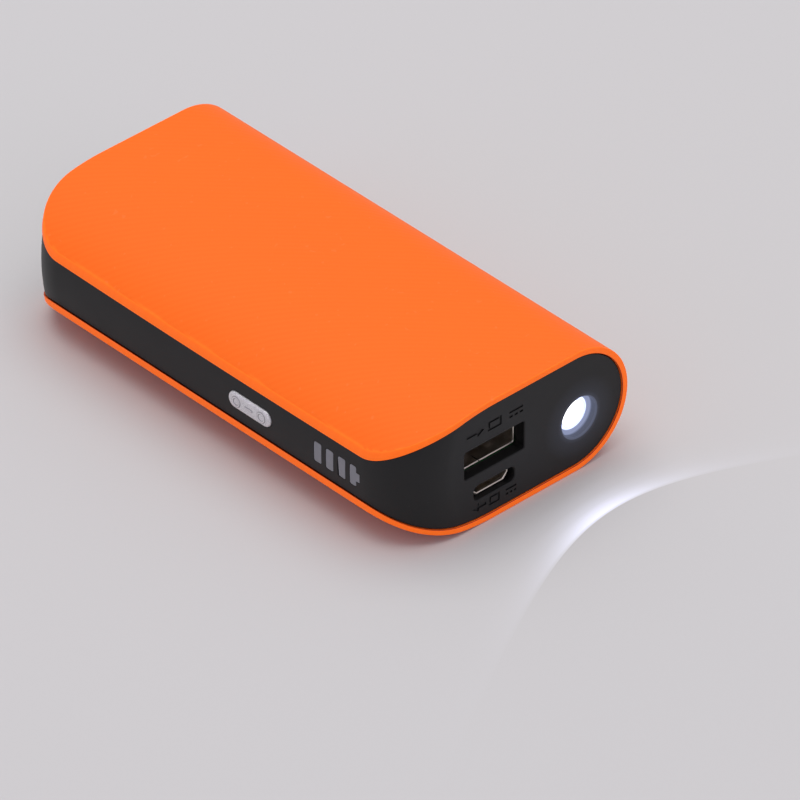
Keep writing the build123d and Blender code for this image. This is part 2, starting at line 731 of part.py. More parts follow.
def boost_inductor():
    """Shielded coil of the step-up circuit."""
    x = VALLEY_X + 4.4
    y = BOARD_REAR - 4.6
    case = block((x - 2.9, x + 2.9), (y - 2.9, y + 2.9), (BOARD_TOP, BOARD_TOP + 2.8))
    case = chamfer(case.edges().filter_by(Axis.Z), 0.8)
    ring = bar_z(2.3, x, y, (BOARD_TOP + 2.5, HEIGHT)) - bar_z(1.9, x, y, (BOARD_TOP, HEIGHT))
    return case - ring


def small_parts(places, size):
    """Equal two-ended parts soldered flat on the board, each turned along X or Y."""
    long, wide, tall = size
    parts = []
    for x, y, turned in places:
        piece = Box(long, wide, tall, align=(Align.CENTER, Align.CENTER, Align.MIN))
        piece = fillet(piece.edges().filter_by(Axis.Y), 0.08)
        parts.append(Pos(x, y, BOARD_TOP) * Rot(0, 0, 90 if turned else 0) * piece)
    return parts


def board_capacitors():
    """Ceramic capacitors beside the chips and the coil."""
    x = USB_X
    y = BOARD_REAR
    places = [
        (x + 2.0, y - 2.4, True),
        (x - 6.4, y - 3.4, True),
        (ROUND_X + 4.6, y - 6.0, True),
        (ROUND_X + 2.6, y - 2.0, False),
        (x - 10.4, y - 4.6, False),
    ]
    return small_parts(places, (2.0, 1.25, 1.2))


def board_resistors():
    """Chip resistors beside the chips and the charge lamps."""
    x = USB_X
    y = BOARD_REAR
    places = [(x - 12.6, y - 10.6 + 2.2 * i, True) for i in range(3)]
    places += [(ROUND_X + 3.0, y - 4.4, True), (ROUND_X - 2.2, y - 8.2, False)]
    places += [(ARM_RIGHT - 0.9, BUTTON_Y - 4.6 - 2.4 * i, True) for i in range(3)]
    return small_parts(places, (1.6, 0.8, 0.5))


def solder_joints():
    """Solder cones where the two leads meet the board."""
    y = BOARD_REAR - 1.6
    joints = []
    for x in (VALLEY_X - 3.5, VALLEY_X):
        cone = Pos(x, y, BOARD_TOP + 0.4) * Cone(1.3, LEAD_DIAMETER / 2 + 0.1, 0.8)
        joints.append(cone - bar_z(LEAD_DIAMETER / 2, x, y, (BOARD_TOP - 1, BOARD_TOP + 2)))
    return joints


# Charge lamps


def level_leds():
    """Four side-facing lamps on the board, one behind each window."""
    x = (BOARD_LEFT + 0.35, BOARD_LEFT + 1.25)
    first = FRONT_Y + WINDOW_FIRST
    lamps = []
    for i in range(WINDOW_COUNT):
        y = first - i * WINDOW_PITCH
        lamp = block(x, (y - 0.8, y + 0.8), (BOARD_TOP, BOARD_TOP + 1.3))
        lamps.append(lamp - bar_x(0.45, (x[0] - 1, x[0] + 0.15), y, BOARD_TOP + 0.7))
    return lamps


def level_light_guide():
    """Clear moulding behind the side wall, with a bar that fills each window."""
    plate_span = WINDOW_PITCH * (WINDOW_COUNT - 1) + WINDOW_WIDTH + 2.4
    centre = FRONT_Y + WINDOW_FIRST - WINDOW_PITCH * (WINDOW_COUNT - 1) / 2
    x = (GUIDE_X, GUIDE_X + GUIDE_THICK)
    guide = plate_x(RectangleRounded(plate_span, WINDOW_HEIGHT + 0.8, 0.4), x, centre, WINDOW_Z)
    guide += windows((BAND_X - 1, GUIDE_X + 0.1), 0)
    return guide & envelope(FACE_SINK + 0.03)


def light_blocker():
    """Black comb that keeps each lamp's light in its own window."""
    x = (GUIDE_X + GUIDE_THICK + 0.05, BOARD_LEFT + 1.35)
    plate_span = WINDOW_PITCH * WINDOW_COUNT + 0.6
    centre = FRONT_Y + WINDOW_FIRST - WINDOW_PITCH * (WINDOW_COUNT - 1) / 2
    z = (BOARD_TOP, WINDOW_Z + WINDOW_HEIGHT / 2 + 0.3)
    comb = block(x, (centre - plate_span / 2, centre + plate_span / 2), z)
    for i in range(WINDOW_COUNT):
        y = FRONT_Y + WINDOW_FIRST - i * WINDOW_PITCH
        comb -= block((x[0] - 1, x[1] + 1), (y - 1.1, y + 1.1), (z[0] - 1, z[1] - 0.5))
    return comb


# Torch


def torch_lens():
    """Clear front lens, slightly domed."""
    front = FACE_Y + TORCH_RECESS
    disc = bar_y(TORCH_LENS / 2, TORCH_X, (front, front + TORCH_LENS_THICK), TORCH_Z)
    return fillet(disc.edges().group_by(Axis.Y)[0], 0.3)


def leg_pins(reach):
    """The lamp's two square legs, reaching back to the given place."""
    half = LED_LEG / 2
    front = TORCH_BOSS_END - 3.2
    return [
        block(
            (TORCH_X + side * LED_LEG_PITCH / 2 - half, TORCH_X + side * LED_LEG_PITCH / 2 + half),
            (front, reach),
            (TORCH_Z - half, TORCH_Z + half),
        )
        for side in (-1, 1)
    ]


def torch_led():
    """Round white lamp with a domed nose and a flange that stops behind the socket."""
    rear = TORCH_BOSS_END + LED_FLANGE_THICK
    radius = LED_DIAMETER / 2
    shoulder = rear - LED_LENGTH + radius
    lamp = bar_y(radius, TORCH_X, (shoulder, rear), TORCH_Z)
    lamp += Pos(TORCH_X, shoulder, TORCH_Z) * Sphere(radius)
    lamp += bar_y(LED_FLANGE / 2, TORCH_X, (TORCH_BOSS_END + 0.05, rear), TORCH_Z)
    return lamp - leg_pins(rear + 1)


def torch_led_legs():
    """Lead frame of the lamp; the legs lie on the board behind it."""
    return leg_pins(TORCH_BOSS_END + 5.6)


# Button and its switch


def button_cap():
    """Pill-shaped button with a flange inside the wall and a pusher for the switch."""
    face = FACE_X - BUTTON_PROUD
    pill = plate_x(SlotOverall(BUTTON_LENGTH, BUTTON_HEIGHT), (face, FLANGE_X), BUTTON_Y, MID)
    pill = fillet(pill.edges().group_by(Axis.X)[0], 0.3)
    flange = SlotOverall(BUTTON_LENGTH + 2 * FLANGE_OVERLAP, BUTTON_HEIGHT + 2 * FLANGE_OVERLAP)
    cap = pill + plate_x(flange, (FLANGE_X, FLANGE_X + BUTTON_FLANGE), BUTTON_Y, MID)
    cap += bar_x(1.1, (FLANGE_X, SWITCH_X - STEM_OUT), BUTTON_Y, MID)
    raised = (face - PIP_RISE, face + 0.1)
    ring = Circle(0.95) - Circle(0.6)
    cap += plate_x(ring, raised, BUTTON_Y - 2.9, MID)
    cap += plate_x(SlotOverall(1.8, 0.4), raised, BUTTON_Y, MID)
    cap += plate_x(ring, raised, BUTTON_Y + 2.9, MID)
    return cap


def switch_stem():
    """Plunger of the push switch."""
    return bar_x(STEM_DIAMETER / 2, (SWITCH_X - STEM_OUT, SWITCH_X + STEM_IN), BUTTON_Y, MID)


def switch_base():
    """Moulded body of the push switch, open towards the plunger."""
    z = (BOARD_TOP, BOARD_TOP + SWITCH_HEIGHT)
    y = (BUTTON_Y - SWITCH_WIDTH / 2, BUTTON_Y + SWITCH_WIDTH / 2)
    case = block((SWITCH_X + 0.3, SWITCH_X + SWITCH_DEPTH), y, z)
    return case - bar_x(SWITCH_HEIGHT / 2 - SWITCH_WALL, (SWITCH_X, SWITCH_X + 2.4), BUTTON_Y, MID)


def switch_cover():
    """Steel front plate of the push switch, with a leg down each side."""
    z = (BOARD_TOP, BOARD_TOP + SWITCH_HEIGHT)
    half = SWITCH_WIDTH / 2
    plate = block((SWITCH_X, SWITCH_X + 0.25), (BUTTON_Y - half, BUTTON_Y + half), z)
    plate -= bar_x(STEM_DIAMETER / 2 + STEM_CLEARANCE, (SWITCH_X - 1, SWITCH_X + 1), BUTTON_Y, MID)
    for side in (-1, 1):
        y = sorted((BUTTON_Y + side * (half + 0.05), BUTTON_Y + side * (half + 0.3)))
        inner = sorted((BUTTON_Y + side * (half - 0.2), BUTTON_Y + side * (half + 0.3)))
        plate += block((SWITCH_X, SWITCH_X + 2.4), y, (z[0], z[1] - 0.6))
        plate += block((SWITCH_X, SWITCH_X + 0.25), inner, (z[0], z[1] - 0.6))
    return plate


def switch_dome():
    """Thin steel dome that snaps under the plunger."""
    apex = SWITCH_X + STEM_IN + BUTTON_TRAVEL + DOME_GAP
    big = (DOME_FOOT**2 + DOME_RISE**2) / (2 * DOME_RISE)
    dome = Pos(apex + big, BUTTON_Y, MID) * (Sphere(big) - Sphere(big - 0.08))
    return dome & bar_x(DOME_FOOT, (apex - 0.1, apex + DOME_RISE), BUTTON_Y, MID)


NODES = {
    "wrap_cover": wrap_cover(),
    "inner_frame": inner_frame(),
    "inner_lid": inner_lid(),
    "lid_screws": lid_screws(),
    "nickel_strip_front": strip_front(),
    "nickel_strip_rear": strip_rear(),
    "lead_positive": lead_positive(),
    "lead_negative": lead_negative(),
    "foam_strip": foam_strip(),
    "foam_pad_rear": foam_pad_rear(),
    "insulator_card": insulator_card(),
    "main_board": main_board(),
    "usb_a_shell": usb_a_shell(),
    "usb_a_tongue": usb_a_tongue(),
    "usb_a_contacts": usb_a_contacts(),
    "micro_usb_shell": micro_usb_shell(),
    "micro_usb_tongue": micro_usb_tongue(),
    "micro_usb_contacts": micro_usb_contacts(),
    "boost_chip": boost_chip(),
    "charge_chip": charge_chip(),
    "boost_inductor": boost_inductor(),
    "board_capacitors": board_capacitors(),
    "board_resistors": board_resistors(),
    "solder_joints": solder_joints(),
    "level_leds": level_leds(),
    "level_light_guide": level_light_guide(),
    "light_blocker": light_blocker(),
    "torch_lens": torch_lens(),
    "torch_led": torch_led(),
    "torch_led_legs": torch_led_legs(),
    "button_cap": button_cap(),
    "switch_stem": switch_stem(),
    "switch_base": switch_base(),
    "switch_cover": switch_cover(),
    "switch_dome": switch_dome(),
}
for side, cell_x in zip(("right", "left"), CELL_X):
    NODES[f"cell_{side}_can"] = cell_can(cell_x)
    NODES[f"cell_{side}_sleeve"] = cell_sleeve(cell_x)
    NODES[f"cell_{side}_ring"] = cell_ring(cell_x)
    NODES[f"cell_{side}_cap"] = cell_cap(cell_x)

os.makedirs("parts", exist_ok=True)
for name, shape in NODES.items():
    pieces = shape if isinstance(shape, list) else [shape]
    export_step(Compound(children=pieces), f"parts/{name}.step")
print(f"case {WIDTH:.2f} x {LENGTH:.2f} x {HEIGHT:.2f} mm, {len(NODES)} nodes")
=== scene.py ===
# %% [markdown]
# # A pocket power bank in Blender
# The object is a two-cell power bank with a torch: a black frame with ports, a button and charge windows,
# and an orange cover that wraps round it from one long side to the other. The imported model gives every
# place and size. This script adds the finer shapes, the finishes, the light and the camera.

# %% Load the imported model
import json
import math

import bmesh
import bpy
import numpy as np
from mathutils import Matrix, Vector


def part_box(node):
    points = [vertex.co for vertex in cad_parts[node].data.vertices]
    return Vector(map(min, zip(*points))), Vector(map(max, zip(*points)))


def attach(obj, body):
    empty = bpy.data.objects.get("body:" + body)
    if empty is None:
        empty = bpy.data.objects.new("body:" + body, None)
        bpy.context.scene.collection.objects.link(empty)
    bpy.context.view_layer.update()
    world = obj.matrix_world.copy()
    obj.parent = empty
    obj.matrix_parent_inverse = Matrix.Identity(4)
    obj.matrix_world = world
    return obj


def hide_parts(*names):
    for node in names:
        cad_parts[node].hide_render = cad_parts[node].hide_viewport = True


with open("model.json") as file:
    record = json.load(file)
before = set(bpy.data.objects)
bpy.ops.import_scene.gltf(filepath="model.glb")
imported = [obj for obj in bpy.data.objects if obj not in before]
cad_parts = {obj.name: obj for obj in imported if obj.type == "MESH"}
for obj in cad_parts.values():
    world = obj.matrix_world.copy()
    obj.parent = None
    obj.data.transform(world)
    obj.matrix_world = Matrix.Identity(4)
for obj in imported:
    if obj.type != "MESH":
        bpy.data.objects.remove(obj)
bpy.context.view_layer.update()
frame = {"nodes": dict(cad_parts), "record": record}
nodes = frame["nodes"]
MM = 0.001

# %% [markdown]
# ## Sizes the pieces share
# The case is one long profile with a half-round side and a tapered side, cut off by a barrel shape on the
# button side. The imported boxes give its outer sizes; the few that a box can't tell are stated here.

# %% Measure the case
cover_low, cover_high = (Vector(corner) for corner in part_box("wrap_cover"))
frame_low = Vector(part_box("inner_frame")[0])
CASE_HEIGHT = cover_high.z - cover_low.z
CASE_LENGTH = cover_high.y - cover_low.y
MID = CASE_HEIGHT / 2
FACE_SINK = frame_low.y - cover_low.y
BAND_X = frame_low.x - FACE_SINK
ROUND_X = cover_high.x - MID
TAPER_LENGTH = 22.0 * MM
TAPER_X = BAND_X - 2.45 * MM + TAPER_LENGTH
BARREL_RADIUS = 34.6 * MM
CORNER_RADIUS = 10.3 * MM
BAND_BOW = 0.1 * MM
COVER_WALL = 1.1 * MM
AXIS_X = BAND_X + BARREL_RADIUS
FRONT_Y = cover_low.y
FACE_Y = frame_low.y
print("case mm:", [round(v / MM, 2) for v in (CASE_LENGTH, CASE_HEIGHT, BAND_X, ROUND_X)])

# %% [markdown]
# ## Camera
# A long lens from far away keeps the edges nearly parallel. The camera looks down on the corner between the
# button side and the port end, and it stands where the whole case sits a little above the middle.

# %% Set up the camera
CAMERA_AZIMUTH = math.radians(-42.289)
CAMERA_ELEVATION = math.radians(35.674)
CAMERA_DISTANCE = 1.6223
LENS = 459.3
SENSOR = 36.0
HALF_WIDTH = 24.166 * MM
AIM_RIGHT = 13.0 * MM
AIM_DOWN = 12.78 * MM
back = Vector(
    (
        math.sin(CAMERA_AZIMUTH) * math.cos(CAMERA_ELEVATION),
        -math.cos(CAMERA_AZIMUTH) * math.cos(CAMERA_ELEVATION),
        math.sin(CAMERA_ELEVATION),
    )
)
right = Vector((math.cos(CAMERA_AZIMUTH), math.sin(CAMERA_AZIMUTH), 0))
up = back.cross(right)
centre = Vector((BAND_X + HALF_WIDTH, 0, MID))
aim = centre + right * AIM_RIGHT - up * AIM_DOWN
camera = bpy.data.objects.new("camera", bpy.data.cameras.new("camera"))
bpy.context.collection.objects.link(camera)
camera.location = centre + back * CAMERA_DISTANCE
camera.rotation_mode = "QUATERNION"
camera.rotation_quaternion = (aim - camera.location).to_track_quat("-Z", "Y")
camera.data.lens = LENS
camera.data.sensor_width = SENSOR
bpy.context.scene.camera = camera
print("camera at", [round(v, 3) for v in camera.location])

# %% [markdown]
# ## Sums on sockets
# A shader is a sum worked out at every point of a surface. Wiring Math nodes by hand is slow to read, so
# one small class wraps an output socket and lets Python's own signs add the nodes: 1 - mask is a Subtract
# node.

# %% A value that varies over a surface


class Field:
    """An output socket that can be added, taken away, multiplied, divided and raised to a power."""

    def __init__(self, recipe, socket):
        self.recipe = recipe
        self.socket = socket

    def maths(self, operation, *values):
        """One Math node: operation on the given values, in their order."""
        return self.recipe.node("ShaderNodeMath", {"operation": operation}, dict(enumerate(values)))

    def __add__(self, other):
        return self.maths("ADD", self, other)

    def __sub__(self, other):
        return self.maths("SUBTRACT", self, other)

    def __rsub__(self, other):
        return self.maths("SUBTRACT", other, self)

    def __mul__(self, other):
        return self.maths("MULTIPLY", self, other)

    def __truediv__(self, other):
        return self.maths("DIVIDE", self, other)

    def __rtruediv__(self, other):
        return self.maths("DIVIDE", other, self)

    def __pow__(self, other):
        return self.maths("POWER", self, other)

    def __lt__(self, other):
        return self.maths("LESS_THAN", self, other)

    __radd__ = __add__
    __rmul__ = __mul__


# %% A material and its nodes


class Recipe:
    """One material's node tree, with a method for any node and short ones for what most finishes need."""

    def __init__(self, name):
        self.material = bpy.data.materials.new(name)
        self.material.use_nodes = True
        self.tree = self.material.node_tree
        self.tree.nodes.clear()

    def node(self, kind, settings, sockets, out=0):
        """Adds a node of a kind, sets its settings, then the values or links of its sockets."""
        made = self.tree.nodes.new(kind)
        for key, value in settings.items():
            if key == "stops":
                set_stops(made.color_ramp, value)
            else:
                setattr(made, key, value)
        for key, value in sockets.items():
            if isinstance(value, Field):
                self.tree.links.new(value.socket, made.inputs[key])
            else:
                made.inputs[key].default_value = value
        return Field(self, made.outputs[out]) if made.outputs else None

    def place(self, scale=(1, 1, 1), turn=(0, 0, 0)):
        """Object coordinates, turned and then stretched by scale."""
        here = self.node("ShaderNodeTexCoord", {}, {}, "Object")
        settings = {"vector_type": "POINT"}
        return self.node("ShaderNodeMapping", settings, {"Vector": here, "Rotation": turn, "Scale": scale})

    def noise(self, size, detail=2.0, where=None, roughness=0.5):
        """Soft noise between 0 and 1 with blotches of a given size in metres."""
        sockets = {"Scale": 1 / size, "Detail": detail, "Roughness": roughness}
        sockets["Vector"] = where or self.place()
        return self.node("ShaderNodeTexNoise", {}, sockets)

    def ramp(self, value, *stops):
        """A value run through a colour ramp, given as (place, grey) or (place, colour) stops."""
        return self.node("ShaderNodeValToRGB", {"stops": stops}, {0: value})

    def mix(self, share, first, second):
        """A colour between two others."""
        return self.node("ShaderNodeMix", {"data_type": "RGBA"}, {0: share, 6: first, 7: second}, 2)

    def bump(self, height, depth, under=None):
        """A normal bent by a height between 0 and 1 that stands for depth in metres."""
        sockets = {"Height": height, "Distance": depth, "Strength": 1.0}
        if under:
            sockets["Normal"] = under
        return self.node("ShaderNodeBump", {}, sockets)

    def finish(self, sockets):
        """Ends the recipe with a Principled shader and returns the material."""
        shader = self.node("ShaderNodeBsdfPrincipled", {}, sockets)
        self.node("ShaderNodeOutputMaterial", {}, {"Surface": shader})
        return self.material


def set_stops(ramp, stops):
    """Puts (place, grey or colour) stops on a colour ramp."""
    while len(ramp.elements) < len(stops):
        ramp.elements.new(1.0)
    for element, (place, tone) in zip(ramp.elements, stops):
        element.position = place
        element.color = tone if isinstance(tone, tuple) else (tone, tone, tone, 1)


def rgb(red, green, blue):
    """A colour from 0 to 255 as seen on screen, made linear: power 2.4 above the dark end."""
    seen = [v / 255 for v in (red, green, blue)]
    return tuple(v / 12.92 if v < 0.04045 else ((v + 0.055) / 1.055) ** 2.4 for v in seen) + (1,)


# %% [markdown]
# ## Soft-touch orange
# The cover is moulded with a fine ribbed texture that runs across it at 45 degrees, then sprayed with a
# matte soft-touch paint. The ribs are a wave in the bump with a faint change of tone, a finer noise is the
# paint's own grain, and slow blotches stand for handling. The rim is painted a little paler, a painted
# highlight, and it also glows faintly by itself, a painted light, because the lights alone leave it duller
# than the top.
# Its inner fold is painted dark red, a painted shade.

# %% Orange paint
RIB_PITCH = 1.08 * MM
RIM_PAINTED_GLOW = 0.27


def make_soft_orange():
    """Matte orange: 45-degree ribs, paint grain, blotches, pale dust, painted light on the rim, painted
    dark red shade on its fold.
    """
    mix = Recipe("soft_orange")
    turned = mix.place(turn=(0, 0, math.radians(45)))
    split = mix.node("ShaderNodeSeparateXYZ", {}, {0: turned}, 1)
    rib = split.maths("SINE", split * (math.tau / RIB_PITCH)) * 0.5 + 0.5
    grain = mix.noise(0.06 * MM, 2.0)
    blotch = mix.noise(14 * MM, 3.0)
    specks = mix.ramp(mix.noise(0.9 * MM, 0.0), (0.80, 0.0), (0.83, 1.0))
    # Rim value 1 marks the rim's painted highlight and painted glow; 2 marks the painted shade on its inner
    # fold.
    mark = mix.node("ShaderNodeAttribute", {"attribute_name": "rim"}, {}, "Fac")
    fold = mark.maths("MAXIMUM", mark - 1, 0)
    rim = mark.maths("MINIMUM", mark, 1) - fold
    body = mix.mix(blotch, (0.98, 0.142, 0.004, 1), (1.0, 0.152, 0.006, 1))
    ribbed = mix.mix(rib * 0.22, body, (1.0, 0.18, 0.012, 1))
    # Painted highlight: the rim is a little paler. Painted shade: the inner fold is dark red.
    rim_painted_highlight = mix.mix(rim * 0.12, ribbed, (1.0, 0.20, 0.02, 1))
    folded = mix.mix(fold * 0.85, rim_painted_highlight, (0.36, 0.012, 0.012, 1))
    colour = mix.mix(specks * 0.06, folded, rgb(255, 178, 130))
    normal = mix.bump(grain, 0.006 * MM, mix.bump(rib, 0.009 * MM))
    roughness = 0.50 + 0.10 * blotch + 0.06 * grain
    return mix.finish(
        {
            "Base Color": colour,
            "Roughness": roughness,
            "Normal": normal,
            "Specular IOR Level": 0.22,
            "Sheen Weight": 0.02,
            "Sheen Roughness": 0.5,
            "Sheen Tint": rgb(255, 190, 150),
            # Painted light: the rim glows by itself, so that it looks as bright as the top.
            "Emission Color": mix.mix(rim, (0, 0, 0, 1), (1.0, 0.165, 0.012, 1)),
            "Emission Strength": RIM_PAINTED_GLOW,
        }
    )


soft_orange = make_soft_orange()
print("made", soft_orange.name, "with", len(soft_orange.node_tree.nodes), "nodes")

# %% [markdown]
# ## Moulded plastics, metals and the rest
# Most of the other finishes are one idea with other numbers: two close tones mixed by slow blotches, a
# grain that bends the surface, and a roughness that wanders. One function makes them, and each finish names
# its own numbers.

# %% A finish from a few numbers


def make_finish(name, dark, light, rough, metal=0.0, grain=0.2, depth=0.004, stretch=(1, 1, 1)):
    """Two tones mixed by blotches, a grain with a size and depth in mm, and a wandering roughness."""
    mix = Recipe(name)
    where = mix.place(scale=stretch)
    blotch = mix.noise(3.0 * MM, 4.0, where, 0.6)
    fine = mix.noise(grain * MM, 3.0, where)
    scuff = mix.ramp(mix.noise(1.3 * MM, 5.0, where, 0.7), (0.56, 0.0), (0.72, 1.0))
    return mix.finish(
        {
            "Base Color": mix.mix(blotch, dark, light),
            "Roughness": rough[0] + (rough[1] - rough[0]) * blotch + 0.08 * fine + 0.05 * scuff,
            "Metallic": metal,
            "Normal": mix.bump(fine, depth * MM),
        }
    )


FINISHES = {
    "screw_steel": (rgb(150, 150, 152), rgb(190, 190, 192), (0.28, 0.45), 1.0, 0.15, 0.003),
    "nickel": (rgb(186, 182, 172), rgb(214, 210, 200), (0.25, 0.42), 1.0, 0.12, 0.003, (1, 0.2, 1)),
    "lead_red": (rgb(150, 16, 18), rgb(190, 26, 26), (0.38, 0.5), 0.0, 0.3, 0.004),
    "lead_black": (rgb(22, 22, 24), rgb(36, 36, 38), (0.38, 0.5), 0.0, 0.3, 0.004),
    "foam": (rgb(52, 52, 56), rgb(84, 84, 88), (0.85, 0.98), 0.0, 0.35, 0.12),
    "card": (rgb(176, 158, 118), rgb(204, 188, 148), (0.75, 0.9), 0.0, 0.25, 0.02, (1, 1, 0.3)),
    "board": (rgb(10, 74, 34), rgb(22, 104, 52), (0.22, 0.4), 0.0, 0.9, 0.02),
    "port_insert": (rgb(22, 22, 24), rgb(34, 34, 37), (0.38, 0.52), 0.0, 0.12, 0.003),
    "contact_gold": (rgb(214, 168, 84), rgb(240, 204, 122), (0.2, 0.34), 1.0, 0.1, 0.002, (1, 0.2, 1)),
    "chip_black": (rgb(26, 26, 27), rgb(42, 42, 44), (0.5, 0.68), 0.0, 0.08, 0.006),
    "ferrite": (rgb(62, 62, 66), rgb(88, 88, 92), (0.45, 0.62), 0.0, 0.1, 0.006),
    "ceramic_tan": (rgb(150, 122, 92), rgb(182, 152, 118), (0.35, 0.5), 0.0, 0.1, 0.003),
    "resistor_black": (rgb(24, 24, 30), rgb(44, 44, 52), (0.25, 0.4), 0.0, 0.12, 0.003),
    "solder": (rgb(190, 192, 194), rgb(222, 224, 226), (0.18, 0.36), 1.0, 0.25, 0.006),
    "lamp_white": (rgb(222, 224, 218), rgb(240, 242, 236), (0.3, 0.42), 0.0, 0.15, 0.003),
    "switch_black": (rgb(24, 24, 25), rgb(38, 38, 40), (0.4, 0.55), 0.0, 0.1, 0.004),
    "cell_can": (rgb(176, 176, 178), rgb(208, 208, 210), (0.18, 0.32), 1.0, 0.1, 0.002, (1, 0.1, 1)),
    "cell_wrap": (rgb(30, 92, 150), rgb(44, 116, 178), (0.2, 0.34), 0.0, 1.2, 0.02),
    "cell_card": (rgb(214, 212, 202), rgb(232, 230, 220), (0.8, 0.92), 0.0, 0.2, 0.01),
}
finishes = {name: make_finish(name, *numbers) for name, numbers in FINISHES.items()}
print("simple finishes:", len(finishes))

# %% [markdown]
# ## Black satin plastic
# The frame is bare moulded plastic from a lightly sparked tool: nearly black, satin, with a grain of a
# tenth of a millimetre. Slow changes in roughness keep its soft reflections from looking like one flat
# sheet. In the torch's bore, and in a halo round it, the plastic glows pale blue by itself: it stands for
# stray light from the lamp.

# %% Black moulding
lens_low, lens_high = (Vector(corner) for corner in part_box("torch_lens"))
TORCH_X = (lens_low.x + lens_high.x) / 2
TORCH_Z = (lens_low.z + lens_high.z) / 2
LENS_Y = lens_low.y
BORE_RADIUS = 3.9
HALO_RADIUS = 8.0
GLOW_DEPTH = 2.5 * MM
BORE_GLOW = ((0.0, 0.10), (0.12, 0.13), (0.2, 0.05), (0.7, 0.10), (1.0, 0.5))
HALO_GLOW = ((0.46, 0.07), (0.58, 0.022), (0.95, 0.0))


def torch_distance(mix):
    """Distance from the torch's axis in mm, at any point of a surface."""
    x = mix.node("ShaderNodeSeparateXYZ", {}, {0: mix.place()}, 0) - TORCH_X
    z = mix.node("ShaderNodeSeparateXYZ", {}, {0: mix.place()}, 2) - TORCH_Z
    return (x * x + z * z) ** 0.5 / MM


def make_black_shell():
    """Nearly black plastic: spark grain, wandering gloss, pale dust, and a blue glow near the torch."""
    mix = Recipe("black_shell")
    grain = mix.noise(0.11 * MM, 3.0)
    slow = mix.noise(9 * MM, 3.0)
    dust = mix.ramp(mix.noise(0.5 * MM, 1.0), (0.74, 0.0), (0.80, 1.0))
    body = mix.mix(slow, (0.0030, 0.0030, 0.0031, 1), (0.0050, 0.0050, 0.0053, 1))
    distance = torch_distance(mix)
    front = mix.node("ShaderNodeSeparateXYZ", {}, {0: mix.place()}, 1)
    near = (front < FACE_Y + GLOW_DEPTH) * (distance < HALO_RADIUS)
    depth = (front - FACE_Y) / (LENS_Y - FACE_Y)
    bore = mix.ramp(depth, *BORE_GLOW) * (distance < BORE_RADIUS)
    halo = mix.ramp(distance / HALO_RADIUS, *HALO_GLOW)
    return mix.finish(
        {
            "Base Color": mix.mix(dust * 0.02, body, rgb(150, 150, 150)),
            "Roughness": 0.40 + 0.12 * slow + 0.08 * grain,
            "Normal": mix.bump(grain, 0.005 * MM),
            "Specular IOR Level": 0.36,
            "Emission Color": mix.mix((bore + halo) * near, (0, 0, 0, 1), (0.50, 0.57, 0.88, 1)),
            "Emission Strength": 0.9,
        }
    )


finishes["black_shell"] = make_black_shell()

# %% [markdown]
# ## Stamped port shells
# The ports' shells are folded from nickel-plated steel strip. The strip was rolled along the port, so fine
# streaks run front to back, and plugs have scratched the mouth. The noise is squeezed along Y to draw those
# streaks.

# %% Port steel


def make_port_steel():
    """Bright plated steel with streaks along Y and a few scratches."""
    mix = Recipe("port_steel")
    streak = mix.noise(0.08 * MM, 3.0, mix.place(scale=(1, 0.06, 1)))
    scratch = mix.ramp(mix.noise(0.12 * MM, 2.0, mix.place(scale=(1, 0.03, 1))), (0.66, 0.0), (0.70, 1.0))
    slow = mix.noise(2.5 * MM, 2.0)
    seam = mix.node("ShaderNodeAttribute", {"attribute_name": "seam"}, {}, "Fac")
    plating = mix.mix(slow, rgb(212, 204, 192), rgb(234, 226, 214))
    return mix.finish(
        {
            "Base Color": mix.mix(seam, plating, rgb(14, 13, 12)),
            "Metallic": 1.0,
            "Roughness": 0.32 + 0.12 * streak + 0.14 * scratch,
            "Normal": mix.bump(streak - scratch, 0.002 * MM),
        }
    )


finishes["port_steel"] = make_port_steel()

# %% [markdown]
# ## Silver button
# The button is plastic with a satin silver plating: brighter than paint, softer than polished metal.

# %% Button plating


def make_button_silver():
    """Satin silver plating over plastic, with a pearl grain and painted shade on the outlines round the
    raised signs.
    """
    mix = Recipe("button_silver")
    pearl = mix.noise(0.16 * MM, 3.0)
    slow = mix.noise(2.0 * MM, 2.0)
    relief = mix.node("ShaderNodeAttribute", {"attribute_name": "relief"}, {}, "Fac")
    silver = mix.mix(slow, rgb(218, 218, 220), rgb(238, 238, 240))
    speckled = mix.mix(mix.ramp(pearl, (0.35, 0.6), (0.55, 0.0)), silver, rgb(168, 168, 172))
    return mix.finish(
        {
            # Painted shade: the outlines round the raised signs are darker.
            "Base Color": mix.mix(relief * 0.9, speckled, rgb(84, 84, 90)),
            "Metallic": 0.5,
            "Roughness": 0.30 + 0.10 * slow + 0.10 * pearl,
            "Normal": mix.bump(pearl, 0.012 * MM),
        }
    )


finishes["button_silver"] = make_button_silver()

# %% [markdown]
# ## Charge windows
# The four windows are bars of one smoked, frosted moulding. Unlit, they look an even cool grey.

# %% Smoked windows


def make_window_grey():
    """Smoked frosted plastic: cool grey with a fine frost."""
    mix = Recipe("window_grey")
    frost = mix.noise(0.07 * MM, 2.0)
    slow = mix.noise(1.5 * MM, 2.0)
    return mix.finish(
        {
            "Base Color": mix.mix(slow, rgb(112, 114, 120), rgb(130, 132, 138)),
            "Roughness": 0.35 + 0.12 * frost,
            "Normal": mix.bump(frost, 0.003 * MM),
            "Coat Weight": 0.2,
        }
    )


finishes["window_grey"] = make_window_grey()

# %% [markdown]
# ## The torch's light
# The lamp is on. Its lens is blown out to white in the middle and turns pale blue at the rim, where the
# light leaves at a slant. The distance from the torch's axis drives that change.

# %% Lamp and lens
LENS_RADIUS = 2.95


